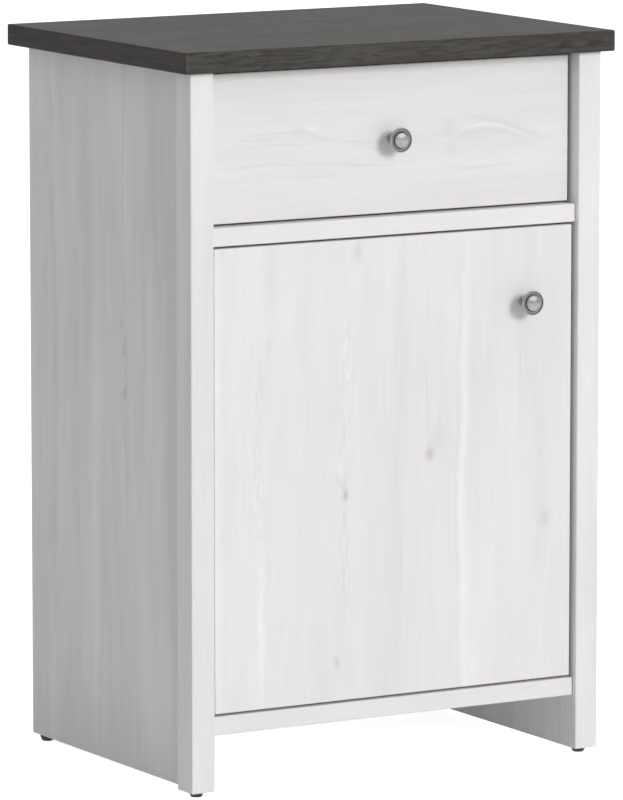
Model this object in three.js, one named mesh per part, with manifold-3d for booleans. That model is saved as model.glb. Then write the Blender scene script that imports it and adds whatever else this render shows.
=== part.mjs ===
// Small chest with one drawer above one inset door, in millimetres.
// The front faces -Y, +X is the viewer's right, +Z is up and the floor is z = 0.
// Inside the file, y = 0 is the front face of the posts and x = 0 the middle of the cabinet.
import * as THREE from 'three';
import { mergeVertices } from 'three/addons/utils/BufferGeometryUtils.js';
import Module from 'manifold-3d';

const wasm = await Module();
wasm.setup();

// Whole cabinet
const cabinetHeight = 800;
const carcassWidth = 512; // over the front posts
const carcassDepth = 385.5; // front of the posts to the rear edge of the sides
const fitGap = 0.3; // air left between pieces that are fitted together
const overrun = 1; // how far a bore or a groove is cut past the face that it opens
const edgeRound = 1.2; // softened edge of the coated boards
const boxRound = 0.8; // edges of the drawer box
const sheetRound = 0.4; // edges of the thin back and drawer bottom

// Top panel
const topThickness = 23;
const topSideOverhang = 12;
const topFrontOverhang = 10;
const topRearOverhang = 1.5; // keeps the nail heads of the back sheet clear of a wall
const topEdgeRound = 1.6;

// Front posts, sides and back
const postWidth = 28;
const postDepth = 32;
const sideThickness = 16;
const backThickness = 2.7;
const backMargin = 2; // the back sheet stops this far inside the sides' outer faces

// Rails and fixed boards
const baseHeight = 66; // floor to the underside of the bottom rail
const railHeight = 20;
const railDepth = 16;
const railRecess = 6; // rail face behind the post face
const boardThickness = 16;

// Glides under the posts and the sides
const glideHeight = 6;
const glideTopRadius = 8;
const glideFootRadius = 6.2;
const glideNailRadius = 1.2;
const glideNailLength = 14;
const glideNailPoint = 3;
const glideFootRound = 0.8;
const glideCollarHeight = 1.5; // straight part of the glide under the wood
const rearGlideInset = 20;

// Adjustable shelf and its bored holes
const shelfThickness = 16;
const shelfSetback = 30; // inner face of the closed door to the front edge of the shelf
const shelfBackGap = 4;
const shelfSideGap = 2;
const shelfHoleDepth = 10;
const shelfHoleSpacing = 32;
const shelfHoleCount = 5;
const shelfHoleHeight = 276; // floor to the lowest hole
const shelfPinLevel = 2; // which hole carries the pins, counted from 0
const shelfPinInset = 37; // pin line to the front or rear edge of the shelf
const shelfPinRadius = 2.5;
const shelfPinFit = 0.25; // air round a pin in its hole
const shelfPinReach = 8;
const shelfCollarRadius = 4;
const shelfCollarThickness = 1;
const smallChamfer = 0.6; // on pins, cams, cups and screw tips

// Door
const doorHeight = 500;
const doorThickness = 16;
const doorRecess = 7; // door face behind the post face
const sideReveal = 4; // gap between a front and the posts
const railReveal = 2.5; // gap between a front and the rails
const doorKnobEdgeInset = 62;
const doorKnobTopInset = 80.5;

// Concealed hinges for the inset door
const hingeEndInset = 90; // hinge centre to the upper or lower edge of the door
const cupRadius = 17.5;
const cupDepth = 11.5;
const cupWall = 1.2;
const cupEdgeInset = 4.5; // edge of the cup bore to the hinge edge of the door
const cupFlangeWidth = 2;
const cupEarReach = 29; // cup centre to the end of a screw ear
const cupEarWidth = 12;
const cupEarOffset = 7; // screw ears beyond the cup centre, away from the hinge edge
const cupEarHoleInset = 6; // end of an ear to its screw hole
const pivotEdgeInset = 12;
const pivotDepth = 9; // door face to the pivot
const pivotPinRadius = 1.5;
const pivotBoreGap = 0.25;
const knuckleRadius = 3;
const armSheet = 2.2;
const armWidth = 11;
const armCrankRadius = 17;
const armCrankStart = THREE.MathUtils.degToRad(8);
const armLegLength = 62;
const armFoldSheet = 1.2; // folded sides of the arm
const armSlotLength = 12;
const armSlotWidth = 5;
const plateSheet = 2;
const plateRise = 5; // side panel to the underside of the arm
const plateWingReach = 26;
const plateWingWidth = 15;
const plateRailLength = 44;
const plateRailRound = 1;
const plateFrontGap = 14; // front of the crank to the front of the plate
const fittingHoleRadius = 1.9; // screw holes in hinges, runners and the stop

// Stop block that the door closes against
const stopWidth = 26;
const stopLength = 22;
const stopSheet = 4;
const stopOverlap = 12; // how far it hangs behind the door
const stopEdgeInset = 46;
const stopHoleInset = 6; // rear edge of the block to its screw hole

// Drawer front and box
const drawerFrontThickness = 16;
const drawerFrontRecess = 16; // drawer face behind the post face
const drawerTopReveal = 3.5;
const drawerBoardThickness = 12;
const drawerSideDrop = 35.5; // upper edge of the front to the upper edge of the sides
const drawerRearGap = 15.5; // rear of the box to the back sheet
const drawerBoxRise = 14.5; // lower edge of the front to the lower edge of the sides
const drawerSheetThickness = 3;
const drawerSheetRise = 10; // lower edge of the sides to the bottom sheet
const drawerGrooveDepth = 5;

// Roller runners
const runnerSpace = 12.5; // side panel to drawer side
const runnerSheet = 1.2;
const runnerFrontGap = 4; // rear of the drawer front to the front end of the carcass runner
const runnerDrawerStart = 2; // rear of the drawer front to the drawer runner
const runnerRearInset = 1.3; // rear of the drawer box to the end of the drawer runner
const runnerWebHeight = 22;
const runnerLip = 2;
const runnerLipSheet = 0.84; // rolled edge over the rollers
const runnerWebGap = 0.8; // lip of the carcass runner to the web of the drawer runner
const runnerRollGap = 0.9; // web of the carcass runner to the rolled edge of the drawer runner
const runnerHeadroom = 12; // lower edge of the drawer side to the top of the drawer runner
const runnerFootWidth = 12;
const runnerScrewRise = 6.5; // lower edge of the drawer side to the screws of the drawer runner
const runnerScrewPlaces = [38, 166, 294]; // front end of a runner to its screw holes
const rollerRadius = 9;
const rollerInset = 3.8; // side panel to the near face of a roller
const rollerLipGap = 0.6; // far face of a roller to the lip of its track
const rollerChamfer = 0.7;
const rollerEndInset = 12; // roller centre to the end of its runner
const axleRadius = 2.4;
const axleBoreGap = 0.3;
const axleHeadRadius = 4;
const axleHeadThickness = 0.8;

// Round knobs, turned about their screw
const knobRadius = 13.5;
const knobReach = 27;
const knobFootRadius = 5.4;
const knobFootThickness = 2;
const knobNeckRadius = 4.4;
const knobNeckHeight = 9;
const knobRimThickness = 3;
const knobRimWidth = 1.3;
const knobGrooveDepth = 1.2;
const knobGrooveWidth = 1.7;
const knobRimHeight = 19.4; // foot to the back of the rim
const knobRimUndercut = 1.6; // edge of the rim to where the neck runs into it
const knobRimRound = 0.8;
const knobFootRound = 0.5;
const knobGrooveFillet = 0.5;
const knobNeckTuck = 0.4; // how much slimmer the neck's curve aims than the neck
const knobNeckPullBelow = 3; // the curve's handles, below and above the neck's slimmest place
const knobNeckPullAbove = 5;
const screwRadius = 2;
const screwDepthInKnob = 11;
const screwHeadRadius = 4.2;
const screwHeadThickness = 2.4;
const screwHeadRound = 1.2;

// Dowels and cam locks
const dowelRadius = 4;
const dowelHalfLength = 14;
const dowelChamfer = 1;
const camRadius = 7.3;
const camThickness = 12;
const camSlotHalf = 5.1; // cam centre to the end of the driver slot
const camSlotWidth = 2;
const camSlotDepth = 1.5;
const camEdgeInset = 34; // cam centre to the joint that it draws tight
const topCamInset = 54; // cam centre to the front or rear edge of the side

// Facets round a full circle
const knobSides = 24;
const cupSides = 24;
const rollerSides = 18;
const smallSides = 12; // glides, cams and axles
const pinSides = 10; // shelf pins, knob screws, dowels and their bores
const holeSides = 8; // shelf holes, nail holes and screw holes
const roundSteps = 4; // facets in a quarter round of a pressed fitting
const armNeckSteps = 7;
const knobNeckSteps = 7;
const knobDomeSteps = 5;

// Places that follow from the sizes above
const innerHalf = carcassWidth / 2 - postWidth;
const topUnderside = cabinetHeight - topThickness;
const uprightHeight = topUnderside - fitGap - glideHeight;
const rearFace = carcassDepth + fitGap + backThickness;
const doorBottom = baseHeight + railHeight + railReveal;
const middleRailBottom = doorBottom + doorHeight + railReveal;
const middleRailTop = middleRailBottom + railHeight;
const drawerBottom = middleRailTop + railReveal;
const frontWidth = 2 * (innerHalf - sideReveal);
const doorRear = doorRecess + doorThickness;
const hingeHeights = [['upper', doorHeight - hingeEndInset], ['lower', hingeEndInset]];
const shelfRear = carcassDepth - shelfBackGap;
const shelfDepth = shelfRear - shelfSetback - doorRear;
const drawerFrontHeight = topUnderside - drawerTopReveal - drawerBottom;
const boardFront = railRecess + railDepth + fitGap;
const boardDepth = carcassDepth - fitGap - boardFront;
const drawerBoxHalf = innerHalf - runnerSpace;
const drawerSideHeight = drawerFrontHeight - drawerBoxRise - drawerSideDrop;
const drawerFrontRear = drawerFrontRecess + drawerFrontThickness;
const drawerBoxFront = drawerFrontRear + fitGap;
const drawerBoxDepth = carcassDepth + fitGap - drawerRearGap - drawerBoxFront;
const runnerLength = drawerBoxDepth + fitGap - runnerDrawerStart - runnerRearInset;
const carcassRunnerFront = drawerFrontRear + runnerFrontGap;
const trackLipInner = runnerSpace - fitGap - 2 * runnerSheet - runnerWebGap;
const rollerWidth = trackLipInner - rollerLipGap - rollerInset;
const screwHoleRadius = screwRadius + fitGap;

// Materials
const finish = (color, roughness, metalness = 0) =>
  new THREE.MeshStandardMaterial({ color, roughness, metalness });
const larch = finish('#e3e0dd', 0.55);
const darkOak = finish('#4a4540', 0.5);
const whiteSheet = finish('#e9e7e3', 0.6);
const drawerWhite = finish('#e6e4df', 0.6);
const pewter = finish('#8b898a', 0.32, 1);
const zincSteel = finish('#b4b6b8', 0.35, 1);
const runnerWhite = finish('#e8e8e6', 0.4);
const nylon = finish('#d9d8d2', 0.45);
const blackPlastic = finish('#17171a', 0.5);
const whitePlastic = finish('#eceae6', 0.45);
const beech = finish('#cfae82', 0.65);

// Turns a closed geometry into a solid that can be cut and joined
function solid(geometry) {
  const bare = new THREE.BufferGeometry();
  const source = geometry.index ? geometry.toNonIndexed() : geometry;
  bare.setAttribute('position', source.getAttribute('position').clone());
  const merged = mergeVertices(bare);
  return new wasm.Manifold(new wasm.Mesh({
    numProp: 3,
    vertProperties: new Float32Array(merged.getAttribute('position').array),
    triVerts: new Uint32Array(merged.index.array),
  }));
}

// Turns a solid back into a geometry with crisp faces
function geometryOf(body) {
  const mesh = body.getMesh();
  const geometry = new THREE.BufferGeometry();
  geometry.setAttribute('position', new THREE.BufferAttribute(new Float32Array(mesh.vertProperties), 3));
  geometry.setIndex(new THREE.BufferAttribute(new Uint32Array(mesh.triVerts), 1));
  const crisp = geometry.toNonIndexed();
  crisp.computeVertexNormals();
  return crisp;
}

const cut = (geometry, ...tools) =>
  geometryOf(tools.reduce((body, tool) => body.subtract(solid(tool)), solid(geometry)));
const join = (geometry, ...others) =>
  geometryOf(others.reduce((body, other) => body.add(solid(other)), solid(geometry)));

// Rectangle with small round corners, drawn between two corners
function roundedRectangle(x0, y0, x1, y1, radius) {
  const shape = new THREE.Shape();
  shape.moveTo(x0 + radius, y0);
  shape.lineTo(x1 - radius, y0);
  shape.absarc(x1 - radius, y0 + radius, radius, -Math.PI / 2, 0);
  shape.lineTo(x1, y1 - radius);
  shape.absarc(x1 - radius, y1 - radius, radius, 0, Math.PI / 2);
  shape.lineTo(x0 + radius, y1);
  shape.absarc(x0 + radius, y1 - radius, radius, Math.PI / 2, Math.PI);
  shape.lineTo(x0, y0 + radius);
  shape.absarc(x0 + radius, y0 + radius, radius, Math.PI, 1.5 * Math.PI);
  return shape;
}

// Board from the origin to (width, depth, height), every edge rounded by the same radius.
// One step leaves a chamfer, which is enough on the boards inside the cabinet.
function board(width, depth, height, round = edgeRound, steps = 2) {
  const corner = 0.08; // the bevel widens this corner to the full radius
  const outline = roundedRectangle(round, round, width - round, depth - round, corner);
  const geometry = new THREE.ExtrudeGeometry(outline, {
    depth: height - 2 * round,
    bevelEnabled: true,
    bevelThickness: round,
    bevelSize: round,
    bevelSegments: steps,
    curveSegments: steps,
  });
  return geometry.translate(0, 0, round);
}

// Plain extrusions along one axis. The outline is drawn in the plane across that axis:
// (y, z) for X, (x, z) for Y and (x, y) for Z.
function extrude(axis, outline, from, to, curveSegments = roundSteps) {
  const options = { depth: to - from, bevelEnabled: false, curveSegments };
  const geometry = new THREE.ExtrudeGeometry(outline, options);
  const basis = new THREE.Matrix4();
  const [x, y, z] = [new THREE.Vector3(1, 0, 0), new THREE.Vector3(0, 1, 0), new THREE.Vector3(0, 0, 1)];
  if (axis === 'X') basis.makeBasis(y, z, x);
  if (axis === 'Y') basis.makeBasis(x, z, y.negate());
  geometry.applyMatrix4(basis);
  if (axis === 'X') return geometry.translate(from, 0, 0);
  if (axis === 'Y') return geometry.translate(0, to, 0);
  return geometry.translate(0, 0, from);
}

// Corner radius that makes the end of a strip very nearly a half circle
const fullRound = (width) => 0.48 * width;

// Box between two corners, for grooves, slots and folded sheet
function block(x0, y0, z0, x1, y1, z1) {
  const geometry = new THREE.BoxGeometry(x1 - x0, y1 - y0, z1 - z0);
  return geometry.translate((x0 + x1) / 2, (y0 + y1) / 2, (z0 + z1) / 2);
}

// Cylinder along an axis, from one place on it to another
function rod(axis, radius, from, to, facets = smallSides) {
  const geometry = new THREE.CylinderGeometry(radius, radius, to - from, facets);
  geometry.translate(0, (from + to) / 2, 0);
  if (axis === 'X') geometry.rotateZ(-Math.PI / 2);
  if (axis === 'Z') geometry.rotateX(Math.PI / 2);
  return geometry;
}

// Solid of revolution about Z from [radius, height] points that start and end on the axis
function turned(points, facets = smallSides) {
  const profile = points.map(([radius, height]) => new THREE.Vector2(radius, height));
  return new THREE.LatheGeometry(profile, facets).rotateX(Math.PI / 2);
}

function piece(group, name, geometry, material, x = 0, y = 0, z = 0) {
  const mesh = new THREE.Mesh(geometry, material);
  mesh.name = name;
  mesh.position.set(x, y, z);
  group.add(mesh);
  return mesh;
}

// Everything is drawn for the right side and mirrored by its sign for the left
const sides = [['left', -1], ['right', 1]];

// Top panel
function addTop(group) {
  const width = carcassWidth + 2 * topSideOverhang;
  const depth = topFrontOverhang + rearFace + topRearOverhang;
  piece(group, 'top_panel', board(width, depth, topThickness, topEdgeRound), darkOak,
    -width / 2, -topFrontOverhang, topUnderside);
}

// Front posts, bored for the rail dowels and the glide nails
function addPosts(group) {
  for (const [side, sign] of sides) {
    const inner = sign > 0 ? 0 : postWidth;
    const depthOfHole = dowelHalfLength + fitGap;
    const bores = [baseHeight, middleRailBottom].map((bottom) => {
      const [from, to] = sign > 0 ? [-overrun, depthOfHole] : [inner - depthOfHole, inner + overrun];
      const bore = rod('X', dowelRadius + fitGap, from, to, pinSides);
      return bore.translate(0, railRecess + railDepth / 2, bottom + railHeight / 2 - glideHeight);
    });
    const nailHole = rod('Z', glideNailRadius + fitGap, -overrun, glideNailLength + fitGap, holeSides);
    nailHole.translate(postWidth / 2, postDepth / 2, 0);
    const post = cut(board(postWidth, postDepth, uprightHeight), ...bores, nailHole);
    piece(group, `${side}_front_post`, post, larch,
      sign > 0 ? innerHalf : -innerHalf - postWidth, 0, glideHeight);
  }
}

// Side panels behind the posts, flush with their inner faces
function addSides(group) {
  const front = postDepth + fitGap;
  const depth = carcassDepth - front;
  const holeRows = [shelfRear - shelfDepth + shelfPinInset, shelfRear - shelfPinInset];
  const camRows = [front + topCamInset, carcassDepth - topCamInset];
  for (const [side, sign] of sides) {
    const inner = sign > 0 ? 0 : sideThickness;
    const span = (deep) => (sign > 0 ? [-overrun, deep] : [inner - deep, inner + overrun]);
    const tools = [];
    for (const row of holeRows) {
      for (let level = 0; level < shelfHoleCount; level += 1) {
        const hole = rod('X', shelfPinRadius + shelfPinFit, ...span(shelfHoleDepth), holeSides);
        const height = shelfHoleHeight + level * shelfHoleSpacing - glideHeight;
        tools.push(hole.translate(0, row - front, height));
      }
    }
    for (const row of camRows) {
      const pocket = rod('X', camRadius + fitGap, ...span(camThickness + 2 * fitGap));
      tools.push(pocket.translate(0, row - front, uprightHeight - camEdgeInset));
    }
    const nailHole = rod('Z', glideNailRadius + fitGap, -overrun, glideNailLength + fitGap, holeSides);
    tools.push(nailHole.translate(sideThickness / 2, depth - rearGlideInset, 0));
    piece(group, `${side}_side_panel`, cut(board(sideThickness, depth, uprightHeight), ...tools), larch,
      sign > 0 ? innerHalf : -innerHalf - sideThickness, front, glideHeight);
  }
}

// Front rails, bored at both ends for a dowel
function addRails(group) {
  const width = 2 * (innerHalf - fitGap);
  const depthOfHole = dowelHalfLength + fitGap;
  for (const [name, bottom] of [['bottom_rail', baseHeight], ['middle_rail', middleRailBottom]]) {
    const bores = [[-overrun, depthOfHole], [width - depthOfHole, width + overrun]].map(([from, to]) =>
      rod('X', dowelRadius + fitGap, from, to, pinSides).translate(0, railDepth / 2, railHeight / 2));
    piece(group, name, cut(board(width, railDepth, railHeight), ...bores), larch,
      -width / 2, railRecess, bottom);
    for (const [side, sign] of sides) {
      const dowel = turned([
        [0, -dowelHalfLength], [dowelRadius - dowelChamfer, -dowelHalfLength],
        [dowelRadius, dowelChamfer - dowelHalfLength], [dowelRadius, dowelHalfLength - dowelChamfer],
        [dowelRadius - dowelChamfer, dowelHalfLength], [0, dowelHalfLength],
      ], pinSides).rotateY(Math.PI / 2);
      piece(group, `${side}_${name}_dowel`, dowel, beech,
        sign * innerHalf, railRecess + railDepth / 2, bottom + railHeight / 2);
    }
  }
}

// Cam lock: a slotted disc, its slotted face at the origin and its body towards -Z
function camLock() {
  const disc = turned([
    [0, -camThickness], [camRadius - smallChamfer, -camThickness], [camRadius, smallChamfer - camThickness],
    [camRadius, 0], [0, 0],
  ]);
  const slots = [[camSlotHalf, camSlotWidth / 2], [camSlotWidth / 2, camSlotHalf]].map(([halfX, halfY]) =>
    block(-halfX, -halfY, -camSlotDepth, halfX, halfY, overrun));
  return cut(disc, ...slots);
}

// Middle and bottom boards behind the rails, with a cam lock at each end
function addBoards(group) {
  const width = 2 * (innerHalf - fitGap);
  for (const [name, top] of [['bottom_board', baseHeight + railHeight], ['middle_board', middleRailTop]]) {
    const camX = [camEdgeInset, width - camEdgeInset];
    const pockets = camX.map((x) =>
      rod('Z', camRadius + fitGap, -overrun, camThickness + 2 * fitGap).translate(x, boardDepth / 2, 0));
    piece(group, name, cut(board(width, boardDepth, boardThickness, edgeRound, 1), ...pockets), larch,
      -width / 2, boardFront, top - boardThickness);
    camX.forEach((x, index) => {
      const cam = piece(group, `${sides[index][0]}_${name}_cam`, camLock(), zincSteel,
        x - width / 2, boardFront + boardDepth / 2, top - boardThickness + fitGap);
      cam.rotation.x = Math.PI;
    });
  }
}

// Cam locks that hold the top panel, let into the inner faces of the sides
function addTopCams(group) {
  const front = postDepth + fitGap;
  for (const [side, sign] of sides) {
    for (const [end, row] of [['front', front + topCamInset], ['rear', carcassDepth - topCamInset]]) {
      const cam = piece(group, `${side}_${end}_top_cam`, camLock(), zincSteel,
        sign * (innerHalf + fitGap), row, glideHeight + uprightHeight - camEdgeInset);
      cam.rotation.y = -sign * Math.PI / 2;
    }
  }
}

// Thin back sheet, nailed on behind the sides
function addBack(group) {
  const width = 2 * (innerHalf + sideThickness - backMargin);
  const height = topUnderside - fitGap - baseHeight;
  piece(group, 'back_panel', board(width, backThickness, height, sheetRound, 1), whiteSheet,
    -width / 2, carcassDepth + fitGap, baseHeight);
}

// Nail-on glides: a low tapered foot with a nail that goes up into the wood
function addGlides(group) {
  const glide = () => turned([
    [0, 0], [glideFootRadius - glideFootRound, 0], [glideFootRadius, glideFootRound],
    [glideTopRadius, glideHeight - glideCollarHeight], [glideTopRadius, glideHeight - fitGap],
    [glideNailRadius, glideHeight - fitGap],
    [glideNailRadius, glideHeight + glideNailLength - glideNailPoint], [0, glideHeight + glideNailLength],
  ]);
  for (const [side, sign] of sides) {
    piece(group, `${side}_front_glide`, glide(), blackPlastic,
      sign * (innerHalf + postWidth / 2), postDepth / 2, 0);
    piece(group, `${side}_rear_glide`, glide(), blackPlastic,
      sign * (innerHalf + sideThickness / 2), carcassDepth - rearGlideInset, 0);
  }
}

// Adjustable shelf on four pins
function addShelf(group) {
  const pinHeight = shelfHoleHeight + shelfPinLevel * shelfHoleSpacing;
  const width = 2 * (innerHalf - shelfSideGap);
  piece(group, 'shelf', board(width, shelfDepth, shelfThickness, edgeRound, 1), larch,
    -width / 2, shelfRear - shelfDepth, pinHeight + shelfPinRadius + fitGap);
  const collarTop = fitGap + shelfCollarThickness;
  const pin = turned([
    [0, fitGap - shelfHoleDepth], [shelfPinRadius, fitGap - shelfHoleDepth], [shelfPinRadius, fitGap],
    [shelfCollarRadius, fitGap], [shelfCollarRadius, collarTop], [shelfPinRadius, collarTop],
    [shelfPinRadius, shelfPinReach - smallChamfer], [shelfPinRadius - smallChamfer, shelfPinReach],
    [0, shelfPinReach],
  ], pinSides);
  const rows = [['front', shelfRear - shelfDepth + shelfPinInset], ['rear', shelfRear - shelfPinInset]];
  for (const [side, sign] of sides) {
    for (const [end, row] of rows) {
      const mesh = piece(group, `${side}_${end}_shelf_pin`, pin.clone(), zincSteel,
        sign * innerHalf, row, pinHeight);
      mesh.rotation.y = -sign * Math.PI / 2;
    }
  }
}

// Stop block under the middle board, just behind the closed door
function addDoorStop(group) {
  const front = doorRear + fitGap;
  const top = middleRailTop - boardThickness - fitGap;
  const bottom = doorBottom + doorHeight - stopOverlap;
  const outline = new THREE.Shape();
  outline.moveTo(front, bottom);
  outline.lineTo(front + stopSheet, bottom);
  outline.lineTo(front + stopSheet, top - 2 * stopSheet);
  outline.quadraticCurveTo(front + stopSheet, top - stopSheet, front + 2 * stopSheet, top - stopSheet);
  outline.lineTo(front + stopLength, top - stopSheet);
  outline.lineTo(front + stopLength, top);
  outline.lineTo(front, top);
  const left = innerHalf - stopEdgeInset - stopWidth;
  const screwHole = rod('Z', fittingHoleRadius, top - 2 * stopSheet, top + overrun, holeSides);
  screwHole.translate(stopWidth / 2, front + stopLength - stopHoleInset, 0);
  const stop = cut(extrude('X', outline, 0, stopWidth), screwHole);
  piece(group, 'door_stop', stop, whitePlastic, left, 0, 0);
}

// Knob turned about Z, its foot at the origin, with a blind hole for the screw
function knob() {
  const neckCurve = new THREE.CubicBezierCurve(
    new THREE.Vector2(knobFootRadius - knobFootRound, knobFootThickness),
    new THREE.Vector2(knobNeckRadius - knobNeckTuck, knobNeckHeight - knobNeckPullBelow),
    new THREE.Vector2(knobNeckRadius - knobNeckTuck, knobNeckHeight + knobNeckPullAbove),
    new THREE.Vector2(knobRadius - knobRimUndercut, knobRimHeight),
  );
  const domeRise = knobReach - (knobRimHeight + knobRimThickness - knobGrooveDepth);
  const domeRadius = knobRadius - knobRimWidth - knobGrooveWidth;
  const dome = [];
  for (let step = 0; step <= knobDomeSteps; step += 1) {
    const angle = (step / knobDomeSteps) * (Math.PI / 2);
    dome.push([domeRadius * Math.cos(angle), knobReach - domeRise + domeRise * Math.sin(angle)]);
  }
  dome[knobDomeSteps][0] = 0;
  const rimTop = knobRimHeight + knobRimThickness;
  return turned([
    [0, screwDepthInKnob + fitGap], [screwHoleRadius, screwDepthInKnob + fitGap], [screwHoleRadius, 0],
    [knobFootRadius, 0], [knobFootRadius, knobFootThickness - knobFootRound],
    ...neckCurve.getPoints(knobNeckSteps).map((point) => [point.x, point.y]),
    [knobRadius - knobRimRound / 2, knobRimHeight + knobRimRound / 2],
    [knobRadius, knobRimHeight + 1.5 * knobRimRound], [knobRadius, rimTop - knobRimRound],
    [knobRadius - knobRimRound, rimTop], [knobRadius - knobRimWidth, rimTop],
    [domeRadius + knobGrooveFillet, rimTop - knobGrooveDepth],
    ...dome,
  ], knobSides);
}

// Pan-head screw along Z: the head sits below the origin, the shank goes up into the knob
const knobScrew = (shankLength) => turned([
  [0, -screwHeadThickness], [screwHeadRadius - screwHeadRound, -screwHeadThickness],
  [screwHeadRadius, screwHeadRound - screwHeadThickness], [screwHeadRadius, 0], [screwRadius, 0],
  [screwRadius, shankLength - smallChamfer], [screwRadius - smallChamfer, shankLength], [0, shankLength],
], pinSides);

// Knob and screw on a front that is drawn from y = 0 to its thickness
function addKnob(group, name, x, z, thickness) {
  const knobMesh = piece(group, `${name}_knob`, knob(), pewter, x, -fitGap, z);
  knobMesh.rotation.x = Math.PI / 2;
  const screw = knobScrew(thickness + 2 * fitGap + screwDepthInKnob);
  const screwMesh = piece(group, `${name}_knob_screw`, screw, zincSteel, x, thickness + fitGap, z);
  screwMesh.rotation.x = Math.PI / 2;
}

// Drawer: the group's origin is the lower left corner of its front face
function addDrawer(parent) {
  const drawer = new THREE.Group();
  drawer.position.set(-frontWidth / 2, drawerFrontRecess, drawerBottom);
  parent.add(drawer);
  const middle = frontWidth / 2;
  const sheetBottom = drawerBoxRise + drawerSheetRise;
  const sheetTop = sheetBottom + drawerSheetThickness;
  const innerX = drawerBoxHalf - drawerBoardThickness;
  const boxFront = drawerFrontThickness + fitGap;
  const boxRear = boxFront + drawerBoxDepth;

  const knobZ = drawerFrontHeight / 2;
  const screwHole = rod('Y', screwHoleRadius, -overrun, drawerFrontThickness + overrun, pinSides);
  screwHole.translate(middle, 0, knobZ);
  const frontGroove = block(middle - innerX - drawerGrooveDepth, drawerFrontThickness - drawerGrooveDepth,
    sheetBottom - fitGap, middle + innerX + drawerGrooveDepth, drawerFrontThickness + overrun,
    sheetTop + fitGap);
  const front = cut(board(frontWidth, drawerFrontThickness, drawerFrontHeight), screwHole, frontGroove);
  piece(drawer, 'drawer_front', front, larch);
  addKnob(drawer, 'drawer', middle, knobZ, drawerFrontThickness);

  for (const [side, sign] of sides) {
    const [from, to] = sign > 0 ? [-overrun, drawerGrooveDepth] :
      [drawerBoardThickness - drawerGrooveDepth, drawerBoardThickness + overrun];
    const groove = block(from, -overrun, drawerSheetRise - fitGap, to, drawerBoxDepth + overrun,
      drawerSheetRise + drawerSheetThickness + fitGap);
    const panel = cut(board(drawerBoardThickness, drawerBoxDepth, drawerSideHeight, boxRound, 1), groove);
    piece(drawer, `drawer_${side}_side`, panel, drawerWhite,
      middle + (sign > 0 ? innerX : -drawerBoxHalf), boxFront, drawerBoxRise);
  }

  const backWidth = 2 * (innerX - fitGap);
  const backHeight = drawerBoxRise + drawerSideHeight - sheetTop - fitGap;
  piece(drawer, 'drawer_back', board(backWidth, drawerBoardThickness, backHeight, boxRound, 1), drawerWhite,
    middle - backWidth / 2, boxRear - drawerBoardThickness, sheetTop + fitGap);

  const sheetWidth = 2 * (innerX + drawerGrooveDepth - fitGap);
  const sheetFront = drawerFrontThickness - drawerGrooveDepth + fitGap;
  const sheet = board(sheetWidth, boxRear - sheetFront, drawerSheetThickness, sheetRound, 1);
  piece(drawer, 'drawer_bottom', sheet, whiteSheet, middle - sheetWidth / 2, sheetFront, sheetBottom);

  for (const [side, sign] of sides) addDrawerRunner(drawer, side, sign, middle);
  return drawer;
}

// Heights shared by both halves of a runner
const trackTop = drawerBottom + drawerBoxRise + runnerHeadroom; // top of the drawer runner
const rollerTop = trackTop - runnerSheet - fitGap;
const rollerAxis = rollerTop - rollerRadius;
const trackFloor = rollerAxis - rollerRadius - fitGap; // the surface that the rear roller runs on

// Screw holes through the web of a runner, drawn for the left side
const runnerHoles = (fromU, toU, height) => runnerScrewPlaces.map((y) =>
  rod('X', fittingHoleRadius, fromU, toU, holeSides).translate(0, y, height));

// Axle stub with a retaining head, along X from a runner's web; u is measured from the side panel
function axleStub(webU, headU) {
  const inward = Math.sign(headU - webU);
  const rollerFace = inward > 0 ? rollerInset : rollerInset + rollerWidth;
  const span = (from, to) => [Math.min(from, to), Math.max(from, to)];
  const shaft = rod('X', axleRadius, ...span(webU, headU + inward * axleHeadThickness / 2));
  const shoulder = rod('X', axleHeadRadius, ...span(webU, rollerFace - inward * fitGap));
  const head = rod('X', axleHeadRadius, ...span(headU, headU + inward * axleHeadThickness));
  return join(shaft, shoulder, head);
}

// Mirrors a geometry across the YZ plane when sign is negative, keeping its faces outward
function towards(sign, geometry) {
  if (sign < 0) return geometry;
  return geometryOf(solid(geometry).mirror([1, 0, 0]));
}

// Carcass runner, drawn for the left side with u running inward from the side panel
function addCarcassRunner(group, side, sign) {
  const web = fitGap + runnerSheet;
  const trackEdge = trackLipInner + runnerSheet;
  const floorBottom = trackFloor - runnerSheet;
  const profile = new THREE.Shape();
  profile.moveTo(fitGap, floorBottom);
  profile.lineTo(trackEdge, floorBottom);
  profile.lineTo(trackEdge, trackFloor + runnerLip);
  profile.lineTo(trackLipInner, trackFloor + runnerLip);
  profile.lineTo(trackLipInner, trackFloor);
  profile.lineTo(web, trackFloor);
  profile.lineTo(web, trackFloor + runnerWebHeight);
  profile.lineTo(fitGap, trackFloor + runnerWebHeight);
  const rail = extrude('Y', profile, 0, runnerLength);
  const stub = axleStub(web - runnerSheet / 2, rollerInset + rollerWidth + fitGap);
  stub.translate(0, rollerEndInset, rollerAxis);
  const runner = cut(join(rail, stub), ...runnerHoles(0, web + fitGap, rollerAxis));
  piece(group, `${side}_carcass_runner`, towards(sign, runner), runnerWhite,
    sign * innerHalf, carcassRunnerFront, 0);
}

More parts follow.
